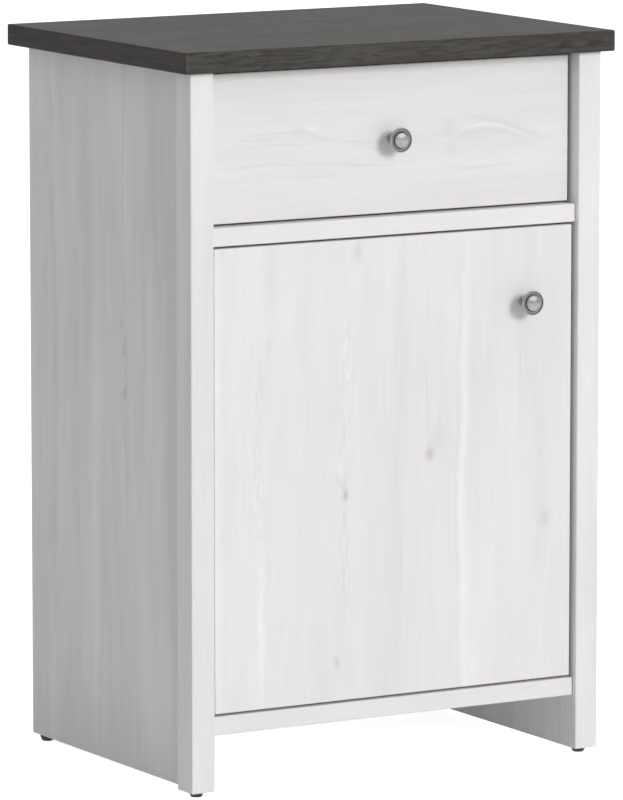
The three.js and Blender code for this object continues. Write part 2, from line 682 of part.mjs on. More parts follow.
// Drawer runner: a foot under the drawer side, a web beside it and a track that covers the rollers
function addDrawerRunner(drawer, side, sign, middle) {
  const sideBottom = drawerBottom + drawerBoxRise;
  const outer = runnerSpace - fitGap; // face of the web next to the drawer side
  const webFace = outer - runnerSheet;
  const trackStart = fitGap + runnerSheet + runnerRollGap;
  const trackUnder = trackTop - runnerSheet;
  const profile = new THREE.Shape();
  profile.moveTo(webFace, sideBottom - fitGap - runnerSheet);
  profile.lineTo(outer + runnerFootWidth, sideBottom - fitGap - runnerSheet);
  profile.lineTo(outer + runnerFootWidth, sideBottom - fitGap);
  profile.lineTo(outer, sideBottom - fitGap);
  profile.lineTo(outer, trackTop);
  profile.lineTo(trackStart, trackTop);
  profile.lineTo(trackStart, trackUnder - runnerLip);
  profile.lineTo(trackStart + runnerLipSheet, trackUnder - runnerLip);
  profile.lineTo(trackStart + runnerLipSheet, trackUnder);
  profile.lineTo(webFace, trackUnder);
  const rail = extrude('Y', profile, 0, runnerLength);
  const stub = axleStub(webFace + runnerSheet / 2, rollerInset - fitGap);
  stub.translate(0, runnerLength - rollerEndInset, rollerAxis);
  const holes = runnerHoles(webFace - fitGap, outer + fitGap, sideBottom + runnerScrewRise);
  piece(drawer, `${side}_drawer_runner`, towards(sign, cut(join(rail, stub), ...holes)), runnerWhite,
    middle + sign * innerHalf, drawerFrontThickness + runnerDrawerStart, -drawerBottom);
}

// Rollers, bored for their axles
function addRollers(group) {
  const bore = axleRadius + axleBoreGap;
  const profile = [
    [bore, 0], [rollerRadius - rollerChamfer, 0], [rollerRadius, rollerChamfer],
    [rollerRadius, rollerWidth - rollerChamfer], [rollerRadius - rollerChamfer, rollerWidth],
    [bore, rollerWidth], [bore, 0],
  ];
  const frontY = carcassRunnerFront + rollerEndInset;
  const rearY = drawerFrontRear + runnerDrawerStart + runnerLength - rollerEndInset;
  for (const [side, sign] of sides) {
    for (const [end, y] of [['front', frontY], ['rear', rearY]]) {
      const roller = piece(group, `${side}_${end}_roller`, turned(profile, rollerSides), nylon,
        sign * (innerHalf - rollerInset), y, rollerAxis);
      roller.rotation.y = -sign * Math.PI / 2;
    }
  }
}

// Door: the group's origin is the lower corner of its face, at the hinge edge
function addDoor(parent) {
  const door = new THREE.Group();
  door.position.set(-frontWidth / 2, doorRecess, doorBottom);
  parent.add(door);
  const cupX = cupEdgeInset + cupRadius;
  const knobX = frontWidth - doorKnobEdgeInset;
  const knobZ = doorHeight - doorKnobTopInset;

  const boreBottom = doorThickness - cupDepth - fitGap;
  const bores = hingeHeights.map(([, z]) =>
    rod('Y', cupRadius, boreBottom, doorThickness + overrun, cupSides).translate(cupX, 0, z));
  const screwHole = rod('Y', screwHoleRadius, -overrun, doorThickness + overrun, pinSides);
  screwHole.translate(knobX, 0, knobZ);
  piece(door, 'door_panel', cut(board(frontWidth, doorThickness, doorHeight), ...bores, screwHole), larch);
  addKnob(door, 'door', knobX, knobZ, doorThickness);

  for (const [level, z] of hingeHeights) {
    piece(door, `${level}_hinge_cup`, hingeCup(), zincSteel, cupX, doorThickness, z);
    const chordX = Math.abs(pivotEdgeInset - cupX) + pivotPinRadius;
    const halfPin = Math.sqrt((cupRadius - fitGap - cupWall) ** 2 - chordX ** 2) - fitGap;
    piece(door, `${level}_hinge_pin`, rod('Z', pivotPinRadius, -halfPin, halfPin), zincSteel,
      pivotEdgeInset, pivotDepth, z);
  }
  return door;
}

// Hinge cup: a pressed cup with a rim and two screw ears, its rim seated on the plane y = 0
function hingeCup() {
  const outer = cupRadius - fitGap;
  const inner = outer - cupWall;
  const flange = cupRadius + cupFlangeWidth;
  const shell = turned([
    [0, -fitGap - cupWall], [flange, -fitGap - cupWall], [flange, -fitGap],
    [outer, -fitGap], [outer, cupDepth - smallChamfer], [outer - smallChamfer, cupDepth], [0, cupDepth],
  ], cupSides).rotateX(Math.PI / 2);
  const hollow = rod('Y', inner, -cupDepth + cupWall, fitGap + cupWall + overrun, cupSides);
  const earLeft = cupEarOffset - cupEarWidth / 2;
  const ears = extrude('Y',
    roundedRectangle(earLeft, -cupEarReach, earLeft + cupEarWidth, cupEarReach, fullRound(cupEarWidth)),
    fitGap, fitGap + cupWall);
  const holes = [-1, 1].map((end) => rod('Y', fittingHoleRadius, 0, 2 * cupWall, holeSides)
    .translate(cupEarOffset, 0, end * (cupEarReach - cupEarHoleInset)));
  return cut(join(shell, ears), hollow, ...holes);
}

// Hinge arm, drawn about its pivot: knuckle, cranked neck round the door edge, leg with folded sides
function hingeArm(legX) {
  const half = armSheet / 2;
  const legEnd = armCrankRadius + armLegLength;
  const outer = armCrankRadius + half;
  const inner = armCrankRadius - half;
  const neck = new THREE.Shape();
  neck.moveTo(outer * Math.cos(armCrankStart), outer * Math.sin(armCrankStart));
  neck.absarc(0, 0, outer, armCrankStart, Math.PI / 2);
  neck.lineTo(legX + half, outer);
  neck.lineTo(legX + half, legEnd);
  neck.lineTo(legX - half, legEnd);
  neck.lineTo(legX - half, inner);
  neck.lineTo(0, inner);
  neck.absarc(0, 0, inner, Math.PI / 2, armCrankStart, true);
  const width = [-armWidth / 2, armWidth / 2];
  const crank = extrude('Z', neck, ...width, armNeckSteps);
  const spoke = block(knuckleRadius / 2, -half, width[0], armCrankRadius, half, width[1]);
  spoke.rotateZ(armCrankStart);
  const knuckle = rod('Z', knuckleRadius, ...width);
  const foldReach = plateRise - plateSheet - 2 * fitGap;
  const folds = [width[0], width[1] - armFoldSheet].map((z) =>
    block(legX - half - foldReach, outer, z, legX, legEnd, z + armFoldSheet));
  const bore = rod('Z', pivotPinRadius + pivotBoreGap, width[0] - overrun, width[1] + overrun);
  const slotEnd = legEnd - armWidth / 2;
  const slotOutline = roundedRectangle(slotEnd - armSlotLength, -armSlotWidth / 2, slotEnd,
    armSlotWidth / 2, fullRound(armSlotWidth));
  const slot = extrude('X', slotOutline, legX - armSheet, legX + armSheet);
  return cut(join(crank, spoke, knuckle, ...folds), bore, slot);
}

// Mounting plate on the side panel: two screw wings and a raised rail that carries the arm
function mountingPlate(front, railTop) {
  const wings = roundedRectangle(front, -plateWingReach, front + plateWingWidth, plateWingReach,
    fullRound(plateWingWidth));
  const railHalf = armWidth / 2 - armFoldSheet - fitGap;
  const railFront = front - plateWingWidth / 2;
  const rail = roundedRectangle(railFront, -railHalf, front + plateRailLength, railHalf, plateRailRound);
  const wingMiddle = plateWingWidth / 2;
  const holes = [-1, 1].map((end) => rod('X', fittingHoleRadius, -overrun, plateSheet + overrun, holeSides)
    .translate(0, front + wingMiddle, end * (plateWingReach - wingMiddle)));
  return cut(join(extrude('X', wings, 0, plateSheet), extrude('X', rail, 0, railTop)), ...holes);
}

// Hinge arms and the plates that carry them, at the same heights as the cups
function addHingeArms(group) {
  const pivotX = -frontWidth / 2 + pivotEdgeInset;
  const pivotY = doorRecess + pivotDepth;
  const legX = -innerHalf + plateRise + armSheet / 2 - pivotX;
  const plateFront = armCrankRadius + plateFrontGap;
  for (const [level, height] of hingeHeights) {
    const z = doorBottom + height;
    piece(group, `${level}_hinge_arm`, hingeArm(legX), zincSteel, pivotX, pivotY, z);
    piece(group, `${level}_hinge_plate`, mountingPlate(plateFront, plateRise - 2 * fitGap), zincSteel,
      -innerHalf + fitGap, pivotY, z);
  }
}

// The finished cabinet, moved so that the origin is on the floor under the middle of its outline
const cabinet = new THREE.Group();
const frontmost = Math.min(doorRecess, drawerFrontRecess) - fitGap - knobReach;
cabinet.position.y = -(Math.min(frontmost, -topFrontOverhang) + rearFace + topRearOverhang) / 2;
addTop(cabinet);
addPosts(cabinet);
addSides(cabinet);
addRails(cabinet);
addBoards(cabinet);
addTopCams(cabinet);
addBack(cabinet);
addGlides(cabinet);
addShelf(cabinet);
addDoorStop(cabinet);
for (const [side, sign] of sides) addCarcassRunner(cabinet, side, sign);
addRollers(cabinet);
addHingeArms(cabinet);
addDrawer(cabinet);
addDoor(cabinet);

export default cabinet;
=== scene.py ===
"""Looks of a small bedside chest: one drawer above one inset door, under a dark overhanging top.

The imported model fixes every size, place and joint. This script gives each board, fitting and roller the
finish of the real material, puts smooth turned parts in place of the faceted ones, adds the small
fasteners, and sets up a plain studio with the camera at the photograph's viewing angle.
"""

import logging
import math
from dataclasses import dataclass
from enum import Enum
from typing import Any, Iterable, Sequence

import bmesh
import bpy
from mathutils import Matrix, Vector


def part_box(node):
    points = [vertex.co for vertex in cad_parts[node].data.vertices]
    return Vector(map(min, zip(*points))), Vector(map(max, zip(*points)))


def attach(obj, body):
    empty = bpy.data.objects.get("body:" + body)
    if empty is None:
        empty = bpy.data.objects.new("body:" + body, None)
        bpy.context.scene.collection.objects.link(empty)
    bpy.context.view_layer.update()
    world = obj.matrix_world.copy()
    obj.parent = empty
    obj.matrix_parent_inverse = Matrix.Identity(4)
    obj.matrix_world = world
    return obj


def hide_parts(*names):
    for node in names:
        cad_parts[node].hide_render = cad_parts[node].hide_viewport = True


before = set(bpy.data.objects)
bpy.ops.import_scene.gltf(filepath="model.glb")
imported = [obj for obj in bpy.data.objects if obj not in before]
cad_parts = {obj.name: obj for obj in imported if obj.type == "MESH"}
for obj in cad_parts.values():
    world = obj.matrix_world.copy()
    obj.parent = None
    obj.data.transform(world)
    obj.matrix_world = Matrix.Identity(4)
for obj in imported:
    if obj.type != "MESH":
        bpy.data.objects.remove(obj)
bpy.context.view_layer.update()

LOG = logging.getLogger("chest")
MM = 0.001

# Nearer to the axis than this, a point of a profile is a single corner
AXIS_MM = 0.0001

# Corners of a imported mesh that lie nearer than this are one, and so are those of a turned profile
WELD_MM = 0.005
PROFILE_WELD_MM = 0.001

# Edges with a wider angle than this stay sharp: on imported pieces, on turned ones and on screw heads
PACKED_SHARP_DEG = 38.0
TURNED_SHARP_DEG = 30.0
HEAD_SHARP_DEG = 32.0

# Steps of a screw's cross recess: half of those round an arm's end, and those from one arm to the next
ARM_END_STEPS = 2
FLANK_STEPS = 12

# The two sides of the chest, each with the sign of the way inwards
SIDES = (("left", 1), ("right", -1))

Colour = tuple[float, float, float, float]
Point = tuple[float, float, float]
Profile = Sequence[tuple[float, float]]

# Sockets of the Mix node for colours and for vectors
MIX_A = 6
MIX_B = 7
MIX_RESULT = 2
VECTOR_A = 4
VECTOR_B = 5
VECTOR_RESULT = 1


def linear(hex_colour: str) -> Colour:
    """Turns an sRGB hex colour into linear light.

    Args:
        hex_colour: Six hex digits after a hash sign.

    Returns:
        Linear red, green and blue, with full alpha.
    """
    channels = [int(hex_colour[i : i + 2], 16) / 255 for i in (1, 3, 5)]
    light = [c / 12.92 if c <= 0.04045 else ((c + 0.055) / 1.055) ** 2.4 for c in channels]
    return (light[0], light[1], light[2], 1.0)


def add_node(
    tree: bpy.types.NodeTree, kind: str, inputs: dict[Any, Any] | None = None, **settings: Any
) -> Any:
    """Adds one node with its settings, its input values and its links.

    Args:
        tree: The node tree that gets the node.
        kind: Blender's name of the node type.
        inputs: Input name or number, and the value or the output socket that feeds it.
        settings: Properties of the node.

    Returns:
        The new node.
    """
    node = tree.nodes.new(kind)
    for name, value in settings.items():
        setattr(node, name, value)
    for key, value in (inputs or {}).items():
        if isinstance(value, bpy.types.NodeSocket):
            tree.links.new(value, node.inputs[key])
        else:
            node.inputs[key].default_value = value
    return node


def to_scale(spacing_mm: float) -> float:
    """Turns the spacing of a pattern's features into the scale of a noise node."""
    return 1 / (spacing_mm * MM)


class Grain(Enum):
    """How a board's grain lies: which of X, Y and Z runs across it, into the board and along it."""

    UPRIGHT = (0, 1, 2)
    UPRIGHT_SIDE = (1, 0, 2)
    LEVEL = (2, 1, 0)
    FLAT = (1, 2, 0)


@dataclass(frozen=True)
class Heart:
    """Middle of a trunk that lies under the face, and draws growth rings on it.

    Attributes:
        across_mm: Place across the grain.
        below_mm: Distance below the face.
        reach_mm: How far to either side the rings show.
    """

    across_mm: float
    below_mm: float
    reach_mm: float


@dataclass(frozen=True)
class Mark:
    """One feature of the print: a knot, a streak, a row of flecks or a cloudy patch.

    Attributes:
        across_mm: Place across the grain.
        along_mm: Place along the grain.
        width_mm: Half width across the grain.
        length_mm: Half length along the grain.
        tone: How much darker it is, and below zero how much paler, as a share of the board's contrast.
        flecks: How strongly short dashes show in it.
        knot: How strongly it takes the knot's colour, from 0 to 1.
        swerve: By how many ring widths the grain runs round it.
        bow_mm: How far its ends bend back across the grain, so that it draws an arc.
        slant_mm: How far it leans across the grain over its half length.
    """

    across_mm: float
    along_mm: float
    width_mm: float
    length_mm: float
    tone: float = 0.0
    flecks: float = 0.0
    knot: float = 0.0
    swerve: float = 0.0
    bow_mm: float = 0.0
    slant_mm: float = 0.0


@dataclass(frozen=True)
class Streaks:
    """Noise that is drawn out along the grain.

    Attributes:
        across_mm: Spacing of its features across the grain.
        along_mm: Their spacing along the grain.
        octaves: Octaves of finer noise.
        salt: Keeps this pattern apart from the board's other ones.
    """

    across_mm: float
    along_mm: float
    octaves: float
    salt: float


# Average of a noise node, taken off where a pattern has to swing both ways
NOISE_MEAN = 0.5

# What runs the length of a board: bands of growth, the narrower ones between them, shades that come and go,
# and the fibre. Real fibre is far finer than 2.4 mm, and is drawn as coarse as it needs to show.
BROAD_BANDS = Streaks(55.56, 555.6, 2.0, 11.0)
NARROW_BANDS = Streaks(16.67, 200.0, 2.0, 17.0)
SHADES = Streaks(111.1, 200.0, 1.0, 29.0)
FIBRE = Streaks(2.381, 41.67, 2.0, 23.0)
NARROW_SHARE = 0.65
SHADE_SHARE = 0.45

# How the grain wanders across the board, each with its reach in millimetres
WANDERING = ((Streaks(333.3, 250.0, 1.0, 3.0), 24.0), (Streaks(71.43, 38.46, 1.0, 41.0), 7.0))

# The hearts rise and sink by so much along the board, and two of them blend over a short distance
HEART_WAVE_MM = 698.1
HEART_RISE_MM = 11.0
HEART_BLEND_MM = 30.0

# Bleached rings show in patches, and fade between them
RING_PATCHES = Streaks(33.33, 111.1, 2.0, 53.0)
RING_PATCHES_SHOW = {"From Min": 0.38, "From Max": 0.62, "To Min": 0.25}

# A knot shows the rings that run round it
RINGS_ROUND_KNOT = 0.8

# Short wavy dashes, and the groups that they come in
DASHES = Streaks(3.846, 20.83, 3.0, 67.0)
DASHES_SHOW = {"From Min": 0.34, "From Max": 0.66, "To Min": -1.0}
DASH_GROUPS = Streaks(125.0, 66.67, 1.0, 83.0)
DASH_GROUPS_SHOW = {"From Min": 0.42, "From Max": 0.62, "To Min": 0.15}

# Long warmer patches of smoked oak
WARM_PATCHES = Streaks(11.11, 142.9, 2.0, 37.0)
WARM_PATCHES_SHOW = {"From Min": 0.5, "From Max": 0.68, "To Max": 0.6}

# End grain is where the face looks along the grain to within 45 degrees
END_FACING = 0.7

# A corner counts as full where its rounded normal leans by 37 degrees
CORNER_SHOWS = {"From Min": 1.0, "From Max": 0.8}

# Where the clouds of a coat show, the patina and painted shade in the recesses and the tarnish of a metal,
# and the fibres and the raw face of hardboard
CLOUDS_SHOW = {"From Min": 0.35, "From Max": 0.75}
RECESS_SHADE_SHOWS = {"From Min": 0.95, "From Max": 0.45}
TARNISH_SHOWS = {"From Min": 0.45, "From Max": 0.8, "To Max": 0.35}
DARK_FIBRES_SHOW = {"From Min": 0.75, "From Max": 1.25}
RAW_FACE_SHOWS = {"From Min": 0.4, "From Max": 0.6}

# What a finish's pattern adds to its middle roughness, where the pattern is 0 and where it is 1
BOARD_GLOSS = (-0.07, 0.07)
COAT_GLOSS = (-0.08, 0.08)
METAL_GLOSS = (0.0, 0.2)
HARDBOARD_GLOSS = (0.0, 0.25)


@dataclass(frozen=True)
class Finish:
    """A surface finish, kept as one Blender material. Colours are sRGB hex.

    Attributes:
        name: Name of the material.
        roughness: Middle roughness of the surface.
    """

    name: str
    roughness: float

    def build(self) -> bpy.types.Material:
        """Builds the material.

        Returns:
            The new material, with its node tree.
        """
        material = bpy.data.materials.new(self.name)
        material.use_nodes = True
        tree = material.node_tree
        tree.nodes.clear()
        output = add_node(tree, "ShaderNodeOutputMaterial")
        shader = add_node(tree, "ShaderNodeBsdfPrincipled")
        tree.links.new(shader.outputs["BSDF"], output.inputs["Surface"])
        self.dress(tree, shader)
        return material

    def dress(self, tree: bpy.types.NodeTree, shader: Any) -> None:
        """Links the finish's own pattern to the shader.

        Args:
            tree: The material's node tree.
            shader: Its Principled shader.
        """
        raise NotImplementedError

    def soft_edge(self, tree: bpy.types.NodeTree, width_mm: float) -> tuple[Any, Any]:
        """Finds the corners of a piece, where handling wears a coat, where the boards get their painted
        highlight and shade, and where light rolls over.

        Args:
            tree: The material's node tree.
            width_mm: Width of the band along a corner.

        Returns:
            An output socket, 0 on flat stretches and up to 1 on corners, and one with the rounded normal.
        """
        bevel = add_node(tree, "ShaderNodeBevel", {"Radius": width_mm * MM}, samples=4)
        geometry = add_node(tree, "ShaderNodeNewGeometry")
        dot = add_node(
            tree,
            "ShaderNodeVectorMath",
            {0: bevel.outputs["Normal"], 1: geometry.outputs["True Normal"]},
            operation="DOT_PRODUCT",
        )
        mask = add_node(tree, "ShaderNodeMapRange", {"Value": dot.outputs["Value"], **CORNER_SHOWS})
        return mask.outputs["Result"], bevel.outputs["Normal"]

    def lay_on(
        self,
        tree: bpy.types.NodeTree,
        shader: Any,
        colour: Any,
        gloss: Any,
        spread: tuple[float, float],
        relief: dict[str, Any],
    ) -> None:
        """Links colour, gloss and relief to the shader.

        Args:
            tree: The material's node tree.
            shader: Its Principled shader.
            colour: The finished colour.
            gloss: Pattern that the roughness follows.
            spread: What it adds to the middle roughness where it is 0, and where it is 1.
            relief: Strength, distance and height of the bumps, and the normal that they lie on.
        """
        smooth, matt = (self.roughness + change for change in spread)
        rough = add_node(tree, "ShaderNodeMapRange", {"Value": gloss, "To Min": smooth, "To Max": matt})
        bump = add_node(tree, "ShaderNodeBump", relief)
        tree.links.new(colour, shader.inputs["Base Color"])
        tree.links.new(rough.outputs["Result"], shader.inputs["Roughness"])
        tree.links.new(bump.outputs["Normal"], shader.inputs["Normal"])


@dataclass(frozen=True)
class WoodGrainBoard(Finish):
    """Chipboard faced with wood-grain foil: bands, fibre, rings near the hearts, knots and flecks.

    The rings are the contours of the distance to one or more hearts that lie under the face. Where a heart
    rises towards the face along the grain, they close into the arches of a flat-sawn plank.

    Attributes:
        pale: Colour of the early wood.
        dark: Colour of the late wood.
        knot_colour: Colour of the knots.
        grain: Direction of the grain.
        face_mm: Place of the face that shows, along the direction into the board.
        hearts: The hearts.
        ring_mm: Width of a growth ring.
        rings: How strongly the rings show, as a share of the contrast between pale and dark.
        bands: How strongly broad bands along the grain show.
        fibre: How strongly the fine fibre shows.
        seed: Moves the pattern, so that no two boards match.
        marks: The board's knots, streaks and flecks.
        emboss: Strength of the embossed pores.
        warm: Colour of long warmer patches, if there are any.
        specular: Strength of the shine; an open-pored matt board has less than a smooth one.
        arris_colour_light_shade: Colour along the corners: a painted highlight on the pale foils, and on the
            oak a dark edge deepened by painted shade.
        arris_colour_light_shade_share: How strongly that colour shows.
        edged_ends: Whether edging on the end grain turns the pattern along the end.
        corner_mm: Width of the soft band along a corner.
        pore_mm: Depth of the embossed pores.
    """

    pale: str
    dark: str
    knot_colour: str
    grain: Grain
    face_mm: float
    hearts: tuple[Heart, ...]
    ring_mm: float
    rings: float
    bands: float
    fibre: float
    seed: float
    marks: tuple[Mark, ...] = ()
    emboss: float = 0.12
    warm: str = ""
    specular: float = 0.5
    arris_colour_light_shade: str = "#cfccca"
    arris_colour_light_shade_share: float = 0.25
    edged_ends: bool = False
    corner_mm: float = 0.9
    pore_mm: float = 0.25

    def dress(self, tree: bpy.types.NodeTree, shader: Any) -> None:
        """Links bands, fibre, rings, marks and emboss to the shader.

        Args:
            tree: The material's node tree.
            shader: Its Principled shader.
        """
        shader.inputs["Specular IOR Level"].default_value = self.specular
        straight = self.lay_grain(tree)
        place = self.wander(tree, straight)
        tone: Any = 0.0
        for streaks, share in (
            (BROAD_BANDS, self.bands),
            (NARROW_BANDS, NARROW_SHARE * self.bands),
            (SHADES, SHADE_SHARE * self.bands),
            (FIBRE, self.fibre),
        ):
            pattern = self.stretched_noise(tree, straight, streaks)
            level = add_node(tree, "ShaderNodeMath", {0: pattern, 1: -NOISE_MEAN}, operation="ADD").outputs[0]
            tone = add_node(
                tree, "ShaderNodeMath", {0: level, 1: share, 2: tone}, operation="MULTIPLY_ADD"
            ).outputs[0]
        fibre = pattern
        distance, shown = self.ring_field(tree, place)
        sums = {"tone": tone, "flecks": 0.0, "knot": 0.0, "distance": distance, "shown": shown}
        for mark in self.marks:
            spot = self.spot(tree, place, mark)
            amounts = {
                "tone": mark.tone,
                "flecks": mark.flecks,
                "knot": mark.knot,
                "distance": mark.swerve * self.ring_mm * MM,
                "shown": RINGS_ROUND_KNOT if mark.swerve else 0.0,
            }
            for name, amount in amounts.items():
                if amount:
                    sums[name] = add_node(
                        tree, "ShaderNodeMath", {0: spot, 1: amount, 2: sums[name]}, operation="MULTIPLY_ADD"
                    ).outputs[0]
        rings = self.broken_rings(tree, place, sums["distance"], sums["shown"])
        tone = add_node(tree, "ShaderNodeMath", {0: sums["tone"], 1: rings}, operation="ADD").outputs[0]
        dashes = {0: self.dashes(tree, place), 1: sums["flecks"], 2: tone}
        tone = add_node(tree, "ShaderNodeMath", dashes, operation="MULTIPLY_ADD").outputs[0]
        factor = add_node(tree, "ShaderNodeMath", {0: tone, 1: 0.5}, operation="ADD", use_clamp=True)
        colour = add_node(
            tree,
            "ShaderNodeMix",
            {0: factor.outputs[0], MIX_A: linear(self.pale), MIX_B: linear(self.dark)},
            data_type="RGBA",
        ).outputs[MIX_RESULT]
        if self.warm:
            colour = self.warm_patches(tree, straight, colour)
        # Corners take the arris colour: a painted highlight on the pale foils, a dark edge with painted shade
        # on the oak
        corner, rounded = self.soft_edge(tree, self.corner_mm)
        worn = add_node(tree, "ShaderNodeMath", {0: corner, 1: self.arris_colour_light_shade_share}, operation="MULTIPLY")
        for share, tint in ((sums["knot"], self.knot_colour), (worn.outputs[0], self.arris_colour_light_shade)):
            colour = add_node(
                tree, "ShaderNodeMix", {0: share, MIX_A: colour, MIX_B: linear(tint)}, data_type="RGBA"
            ).outputs[MIX_RESULT]
        height = add_node(tree, "ShaderNodeMath", {0: fibre, 1: rings}, operation="ADD").outputs[0]
        relief = {
            "Strength": self.emboss,
            "Distance": self.pore_mm * MM,
            "Height": height,
            "Normal": rounded,
        }
        self.lay_on(tree, shader, colour, fibre, BOARD_GLOSS, relief)

    def lay_grain(self, tree: bpy.types.NodeTree) -> Any:
        """Turns the place on the board so that X runs across the grain, Y into the board and Z along it.

        Args:
            tree: The material's node tree.

        Returns:
            An output socket with the turned place.
        """
        coordinates = add_node(tree, "ShaderNodeTexCoord")
        axes = add_node(tree, "ShaderNodeSeparateXYZ", {0: coordinates.outputs["Object"]})
        across, depth, along = (axes.outputs[number] for number in self.grain.value)
        place = add_node(tree, "ShaderNodeCombineXYZ", {0: across, 1: depth, 2: along}).outputs[0]
        if not self.edged_ends:
            return place
        turned = add_node(tree, "ShaderNodeCombineXYZ", {0: depth, 1: along, 2: across}).outputs[0]
        normal = add_node(tree, "ShaderNodeSeparateXYZ", {0: coordinates.outputs["Normal"]})
        facing = normal.outputs[self.grain.value[2]]
        steep = add_node(tree, "ShaderNodeMath", {0: facing}, operation="ABSOLUTE").outputs[0]
        is_end = add_node(
            tree, "ShaderNodeMath", {0: steep, 1: END_FACING}, operation="GREATER_THAN"
        ).outputs[0]
        return add_node(
            tree, "ShaderNodeMix", {0: is_end, VECTOR_A: place, VECTOR_B: turned}, data_type="VECTOR"
        ).outputs[VECTOR_RESULT]

    def wander(self, tree: bpy.types.NodeTree, place: Any) -> Any:
        """Shifts the place to and fro across the grain, as real grain wanders.

        Args:
            tree: The material's node tree.
            place: Place on the board, with Z along the grain.

        Returns:
            An output socket with the shifted place.
        """
        shift: Any = 0.0
        for streaks, reach_mm in WANDERING:
            pattern = self.stretched_noise(tree, place, streaks)
            level = add_node(tree, "ShaderNodeMath", {0: pattern, 1: -NOISE_MEAN}, operation="ADD").outputs[0]
            shift = add_node(
                tree, "ShaderNodeMath", {0: level, 1: reach_mm * MM, 2: shift}, operation="MULTIPLY_ADD"
            ).outputs[0]
        sideways = add_node(tree, "ShaderNodeCombineXYZ", {0: shift}).outputs[0]
        return add_node(tree, "ShaderNodeVectorMath", {0: place, 1: sideways}, operation="ADD").outputs[0]

    def ring_field(self, tree: bpy.types.NodeTree, place: Any) -> tuple[Any, Any]:
        """Works out the distance to the nearest heart, and where rings show.

        Args:
            tree: The material's node tree.
            place: Place on the board, with Z along the grain.

        Returns:
            An output socket with the distance in metres, and one that is 1 over a heart and 0 away from it.
        """
        across, depth, along = add_node(tree, "ShaderNodeSeparateXYZ", {0: place}).outputs
        turn = 2 * math.pi / (HEART_WAVE_MM * MM)
        rise = along
        for operation, factor in (("MULTIPLY", turn), ("SINE", 0.0), ("MULTIPLY", HEART_RISE_MM * MM)):
            rise = add_node(tree, "ShaderNodeMath", {0: rise, 1: factor}, operation=operation).outputs[0]
        below = depth
        for operation, other in (("ADD", -self.face_mm * MM), ("ABSOLUTE", 0.0), ("ADD", rise)):
            below = add_node(tree, "ShaderNodeMath", {0: below, 1: other}, operation=operation).outputs[0]
        nearest = None
        shown: Any = 0.0
        for heart in self.hearts:
            middle = (heart.across_mm * MM, heart.below_mm * MM, 0.0)
            section = add_node(tree, "ShaderNodeCombineXYZ", {0: across, 1: below})
            offset = add_node(
                tree, "ShaderNodeVectorMath", {0: section.outputs[0], 1: middle}, operation="SUBTRACT"
            )
            distance = add_node(
                tree, "ShaderNodeVectorMath", {0: offset.outputs[0]}, operation="LENGTH"
            ).outputs["Value"]
            share = add_node(
                tree,
                "ShaderNodeMapRange",
                {"Value": distance, "From Min": heart.reach_mm * MM, "From Max": 0.0},
                interpolation_type="SMOOTHSTEP",
            ).outputs["Result"]
            shown = add_node(tree, "ShaderNodeMath", {0: shown, 1: share}, operation="MAXIMUM").outputs[0]
            if nearest is None:
                nearest = distance
            else:
                both = {0: nearest, 1: distance, 2: HEART_BLEND_MM * MM}
                nearest = add_node(tree, "ShaderNodeMath", both, operation="SMOOTH_MIN").outputs[0]
        return (0.0 if nearest is None else nearest), shown

    def broken_rings(self, tree: bpy.types.NodeTree, place: Any, distance: Any, shown: Any) -> Any:
        """Draws the rings, broken up as the bleached wood shows them.

        Args:
            tree: The material's node tree.
            place: Place on the board, with Z along the grain.
            distance: Distance to the nearest heart.
            shown: Where rings show.

        Returns:
            An output socket, above zero in the dark part of a ring and below zero in the pale part.
        """
        scale = to_scale(self.ring_mm)
        scaled = add_node(tree, "ShaderNodeMath", {0: distance, 1: scale}, operation="MULTIPLY").outputs[0]
        noise = add_node(
            tree,
            "ShaderNodeTexNoise",
            {"W": scaled, "Scale": 1.0, "Detail": 3.0, "Roughness": 0.55},
            noise_dimensions="1D",
        ).outputs["Fac"]
        level = add_node(tree, "ShaderNodeMath", {0: noise, 1: -NOISE_MEAN}, operation="ADD").outputs[0]
        patches = self.stretched_noise(tree, place, RING_PATCHES)
        whole = add_node(tree, "ShaderNodeMapRange", {"Value": patches, **RING_PATCHES_SHOW})
        for share in (self.rings, whole.outputs["Result"], shown):
            level = add_node(tree, "ShaderNodeMath", {0: level, 1: share}, operation="MULTIPLY").outputs[0]
        return level

    def dashes(self, tree: bpy.types.NodeTree, place: Any) -> Any:
        """Draws short wavy dashes, as beside a row of buds.

        Args:
            tree: The material's node tree.
            place: Place on the board, with Z along the grain.

        Returns:
            An output socket from -1 for a pale dash to 1 for a dark one.
        """
        pattern = self.stretched_noise(tree, place, DASHES)
        level = add_node(
            tree, "ShaderNodeMapRange", {"Value": pattern, **DASHES_SHOW}, interpolation_type="SMOOTHSTEP"
        ).outputs["Result"]
        groups = self.stretched_noise(tree, place, DASH_GROUPS)
        shown = add_node(tree, "ShaderNodeMapRange", {"Value": groups, **DASH_GROUPS_SHOW}).outputs["Result"]
        return add_node(tree, "ShaderNodeMath", {0: level, 1: shown}, operation="MULTIPLY").outputs[0]

    def stretched_noise(self, tree: bpy.types.NodeTree, place: Any, streaks: Streaks) -> Any:
        """Adds noise that is drawn out along the grain.

        Args:
            tree: The material's node tree.
            place: Place on the board, with Z along the grain.
            streaks: Spacing and kind of the noise.

        Returns:
            An output socket, about 0.5 on average.
        """
        across, along = to_scale(streaks.across_mm), to_scale(streaks.along_mm)
        shift = (self.seed + streaks.salt, self.seed - streaks.salt, 0.7 * self.seed)
        mapped = add_node(
            tree,
            "ShaderNodeMapping",
            {"Vector": place, "Scale": (across, across, along), "Location": shift},
        ).outputs[0]
        return add_node(
            tree,
            "ShaderNodeTexNoise",
            {"Vector": mapped, "Scale": 1.0, "Detail": streaks.octaves, "Roughness": 0.6},
        ).outputs["Fac"]

